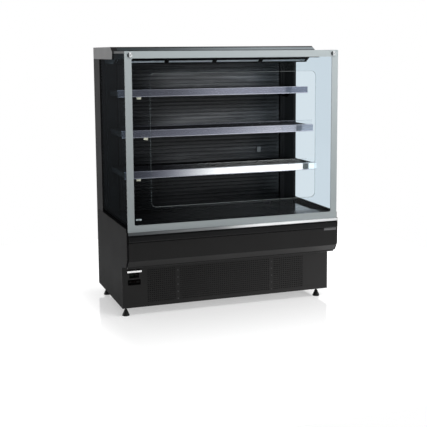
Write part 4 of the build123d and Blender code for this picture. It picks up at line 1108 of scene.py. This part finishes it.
# ---------------------------------------------------------------- stage
class FRIDGE_OT_stage(bpy.types.Operator):
    """Lay the pale floor, hang the soft lights and set the camera"""

    bl_idname = "fridge.stage"
    bl_label = "Stage"

    def execute(self, context):
        stage = context.scene.fridge_stage
        context.scene.view_settings.view_transform = "Standard"
        self.floor()
        self.world(context.scene, stage)
        self.lights()
        self.camera(context.scene, stage)
        return {"FINISHED"}

    def floor(self):
        """A white floor that keeps the object's soft shadow."""
        paint = material("studio_floor")
        path = paint.node("ShaderNodeLightPath").outputs
        seen = Wire(paint, path["Is Camera Ray"]) + Wire(paint, path["Is Glossy Ray"])
        seen = (seen + Wire(paint, path["Is Transmission Ray"])).clamp()
        aside = paint.axis("X").maths("ABSOLUTE")
        away = aside.step(0.66, 0.95) + paint.axis("Y").step(0.35, 0.75)
        light = paint.blend(away.clamp(), (0.62, 0.62, 0.62), (1.0, 1.0, 1.0))
        matt = paint.matt((0.80, 0.80, 0.80))
        shown = paint.plus(matt, paint.glow(light))
        front = ((paint.axis("Y") * -1.0) + FACE_Y).step(-0.10, 1.15)
        mirror = paint.node("ShaderNodeBsdfGlossy", sockets={"Color": (1, 1, 1), "Roughness": 0.08})
        share = (1.0 - front) * (1.0 - aside.step(0.62, 1.1) * 0.5) * 0.28
        surface = paint.finish(paint.layer(seen, matt, paint.layer(share, shown, mirror)))
        mesh = bpy.data.meshes.new("studio_floor")
        reach = 1.9
        mesh.from_pydata(
            [(-reach, -reach, 0), (reach, -reach, 0), (reach, reach, 0), (-reach, reach, 0)],
            [], [(0, 1, 2, 3)],
        )
        mesh.materials.append(surface)
        floor = bpy.data.objects.new("studio_floor", mesh)
        bpy.context.scene.collection.objects.link(floor)

    def world(self, scene, stage):
        """White behind the object; before it a studio, dark at its left and bright at its right."""
        scene.world = bpy.data.worlds.new("studio")
        paint = Paint(scene.world)
        path = paint.node("ShaderNodeLightPath").outputs
        where = paint.node("ShaderNodeTexCoord").outputs["Generated"]
        way = paint.node("ShaderNodeSeparateXYZ", sockets={"Vector": where}).outputs
        across, depth, rise = (Wire(paint, way[name]) for name in "XYZ")
        forward = (depth * -1.0).maths("MAXIMUM", 0.05)
        turned = (across / forward).step(0.25, 0.40)
        fall = rise * -1.0 / forward
        strip = fall.step(0.105, 0.128) * (1.0 - fall.step(0.165, 0.20))
        studio = turned * (fall.step(0.10, 0.14) * 0.7 + strip * 0.8 + 0.3) + 0.04
        studio = studio.maths("MAXIMUM", fall.step(0.4, 1.0) * 0.8)
        behind = depth.step(-0.05, 0.05)
        mirrored = studio * (1.0 - behind) + behind

        def sky(strength):
            return paint.node("ShaderNodeBackground", sockets={"Color": (1, 1, 1), "Strength": strength})

        seen = Wire(paint, path["Is Camera Ray"]) + Wire(paint, path["Is Transmission Ray"])
        lit = paint.layer(path["Is Glossy Ray"], sky(stage.ambient), sky(mirrored))
        paint.finish(paint.layer(seen.clamp(), lit, sky(1.0)), "ShaderNodeOutputWorld")

    def lights(self):
        """Two soft boxes: a broad one at the front right and a high one over the front."""
        self.box_light("right_soft_box", (3.6, -5.2, 1.6), (0.2, 0.0, 0.7), (3.0, 2.4), 130.0)
        self.box_light("top_soft_box", (0.6, -2.8, 4.2), (0.0, 0.0, 0.9), (2.6, 1.6), 90.0)

    def box_light(self, name, place, target, size, power):
        """An area lamp that looks at a point."""
        lamp = bpy.data.lights.new(name, "AREA")
        lamp.shape = "RECTANGLE"
        lamp.size, lamp.size_y = size
        lamp.energy = power
        obj = bpy.data.objects.new(name, lamp)
        obj.visible_glossy = False
        obj.location = place
        obj.rotation_mode = "QUATERNION"
        obj.rotation_quaternion = (Vector(target) - Vector(place)).to_track_quat("-Z", "Y")
        bpy.context.scene.collection.objects.link(obj)

    def camera(self, scene, stage):
        """The camera at the photograph's viewing angle."""
        forward = Vector((
            math.sin(stage.yaw) * math.cos(stage.pitch),
            math.cos(stage.yaw) * math.cos(stage.pitch),
            -math.sin(stage.pitch),
        ))
        level = Vector((math.cos(stage.yaw), -math.sin(stage.yaw), 0.0))
        rise = level.cross(forward)
        right = level * math.cos(stage.roll) + rise * math.sin(stage.roll)
        up = rise * math.cos(stage.roll) - level * math.sin(stage.roll)
        lens = bpy.data.cameras.new("studio_camera")
        lens.lens, lens.sensor_width, lens.shift_y = stage.lens, 36.0, stage.shift
        lens.clip_start, lens.clip_end = 0.05, 60.0
        obj = bpy.data.objects.new("studio_camera", lens)
        turn = Matrix((right, up, -forward)).transposed()
        obj.matrix_world = Matrix.Translation(stage.eye) @ turn.to_4x4()
        scene.collection.objects.link(obj)
        scene.camera = obj


# ---------------------------------------------------------------- panel and run
OPERATORS = (
    FRIDGE_OT_shell, FRIDGE_OT_glazing, FRIDGE_OT_back_wall, FRIDGE_OT_shelves, FRIDGE_OT_deck,
    FRIDGE_OT_canopy, FRIDGE_OT_controls, FRIDGE_OT_machine, FRIDGE_OT_stage,
)
SETTINGS = {
    "fridge_finish": FridgeFinishSettings,
    "fridge_glass": FridgeGlassSettings,
    "fridge_repeat": FridgeRepeatSettings,
    "fridge_stage": FridgeStageSettings,
}


class FRIDGE_PT_dressing(bpy.types.Panel):
    """The fridge's operators in the sidebar"""

    bl_idname = "FRIDGE_PT_dressing"
    bl_label = "Display fridge"
    bl_space_type = "VIEW_3D"
    bl_region_type = "UI"
    bl_category = "Fridge"

    def draw(self, context):
        for operator in OPERATORS:
            self.layout.operator(operator.bl_idname)


def register():
    """Adds the classes and the scene's settings."""
    for item in (*SETTINGS.values(), *OPERATORS, FRIDGE_PT_dressing):
        bpy.utils.register_class(item)
    for name, group in SETTINGS.items():
        setattr(bpy.types.Scene, name, PointerProperty(type=group))


def unregister():
    """Takes them away again."""
    for name in SETTINGS:
        delattr(bpy.types.Scene, name)
    for item in (FRIDGE_PT_dressing, *OPERATORS[::-1], *SETTINGS.values()):
        bpy.utils.unregister_class(item)


def main():
    register()
    for operator in OPERATORS:
        group, name = operator.bl_idname.split(".")
        getattr(getattr(bpy.ops, group), name)()


if __name__ == "__main__":
    main()
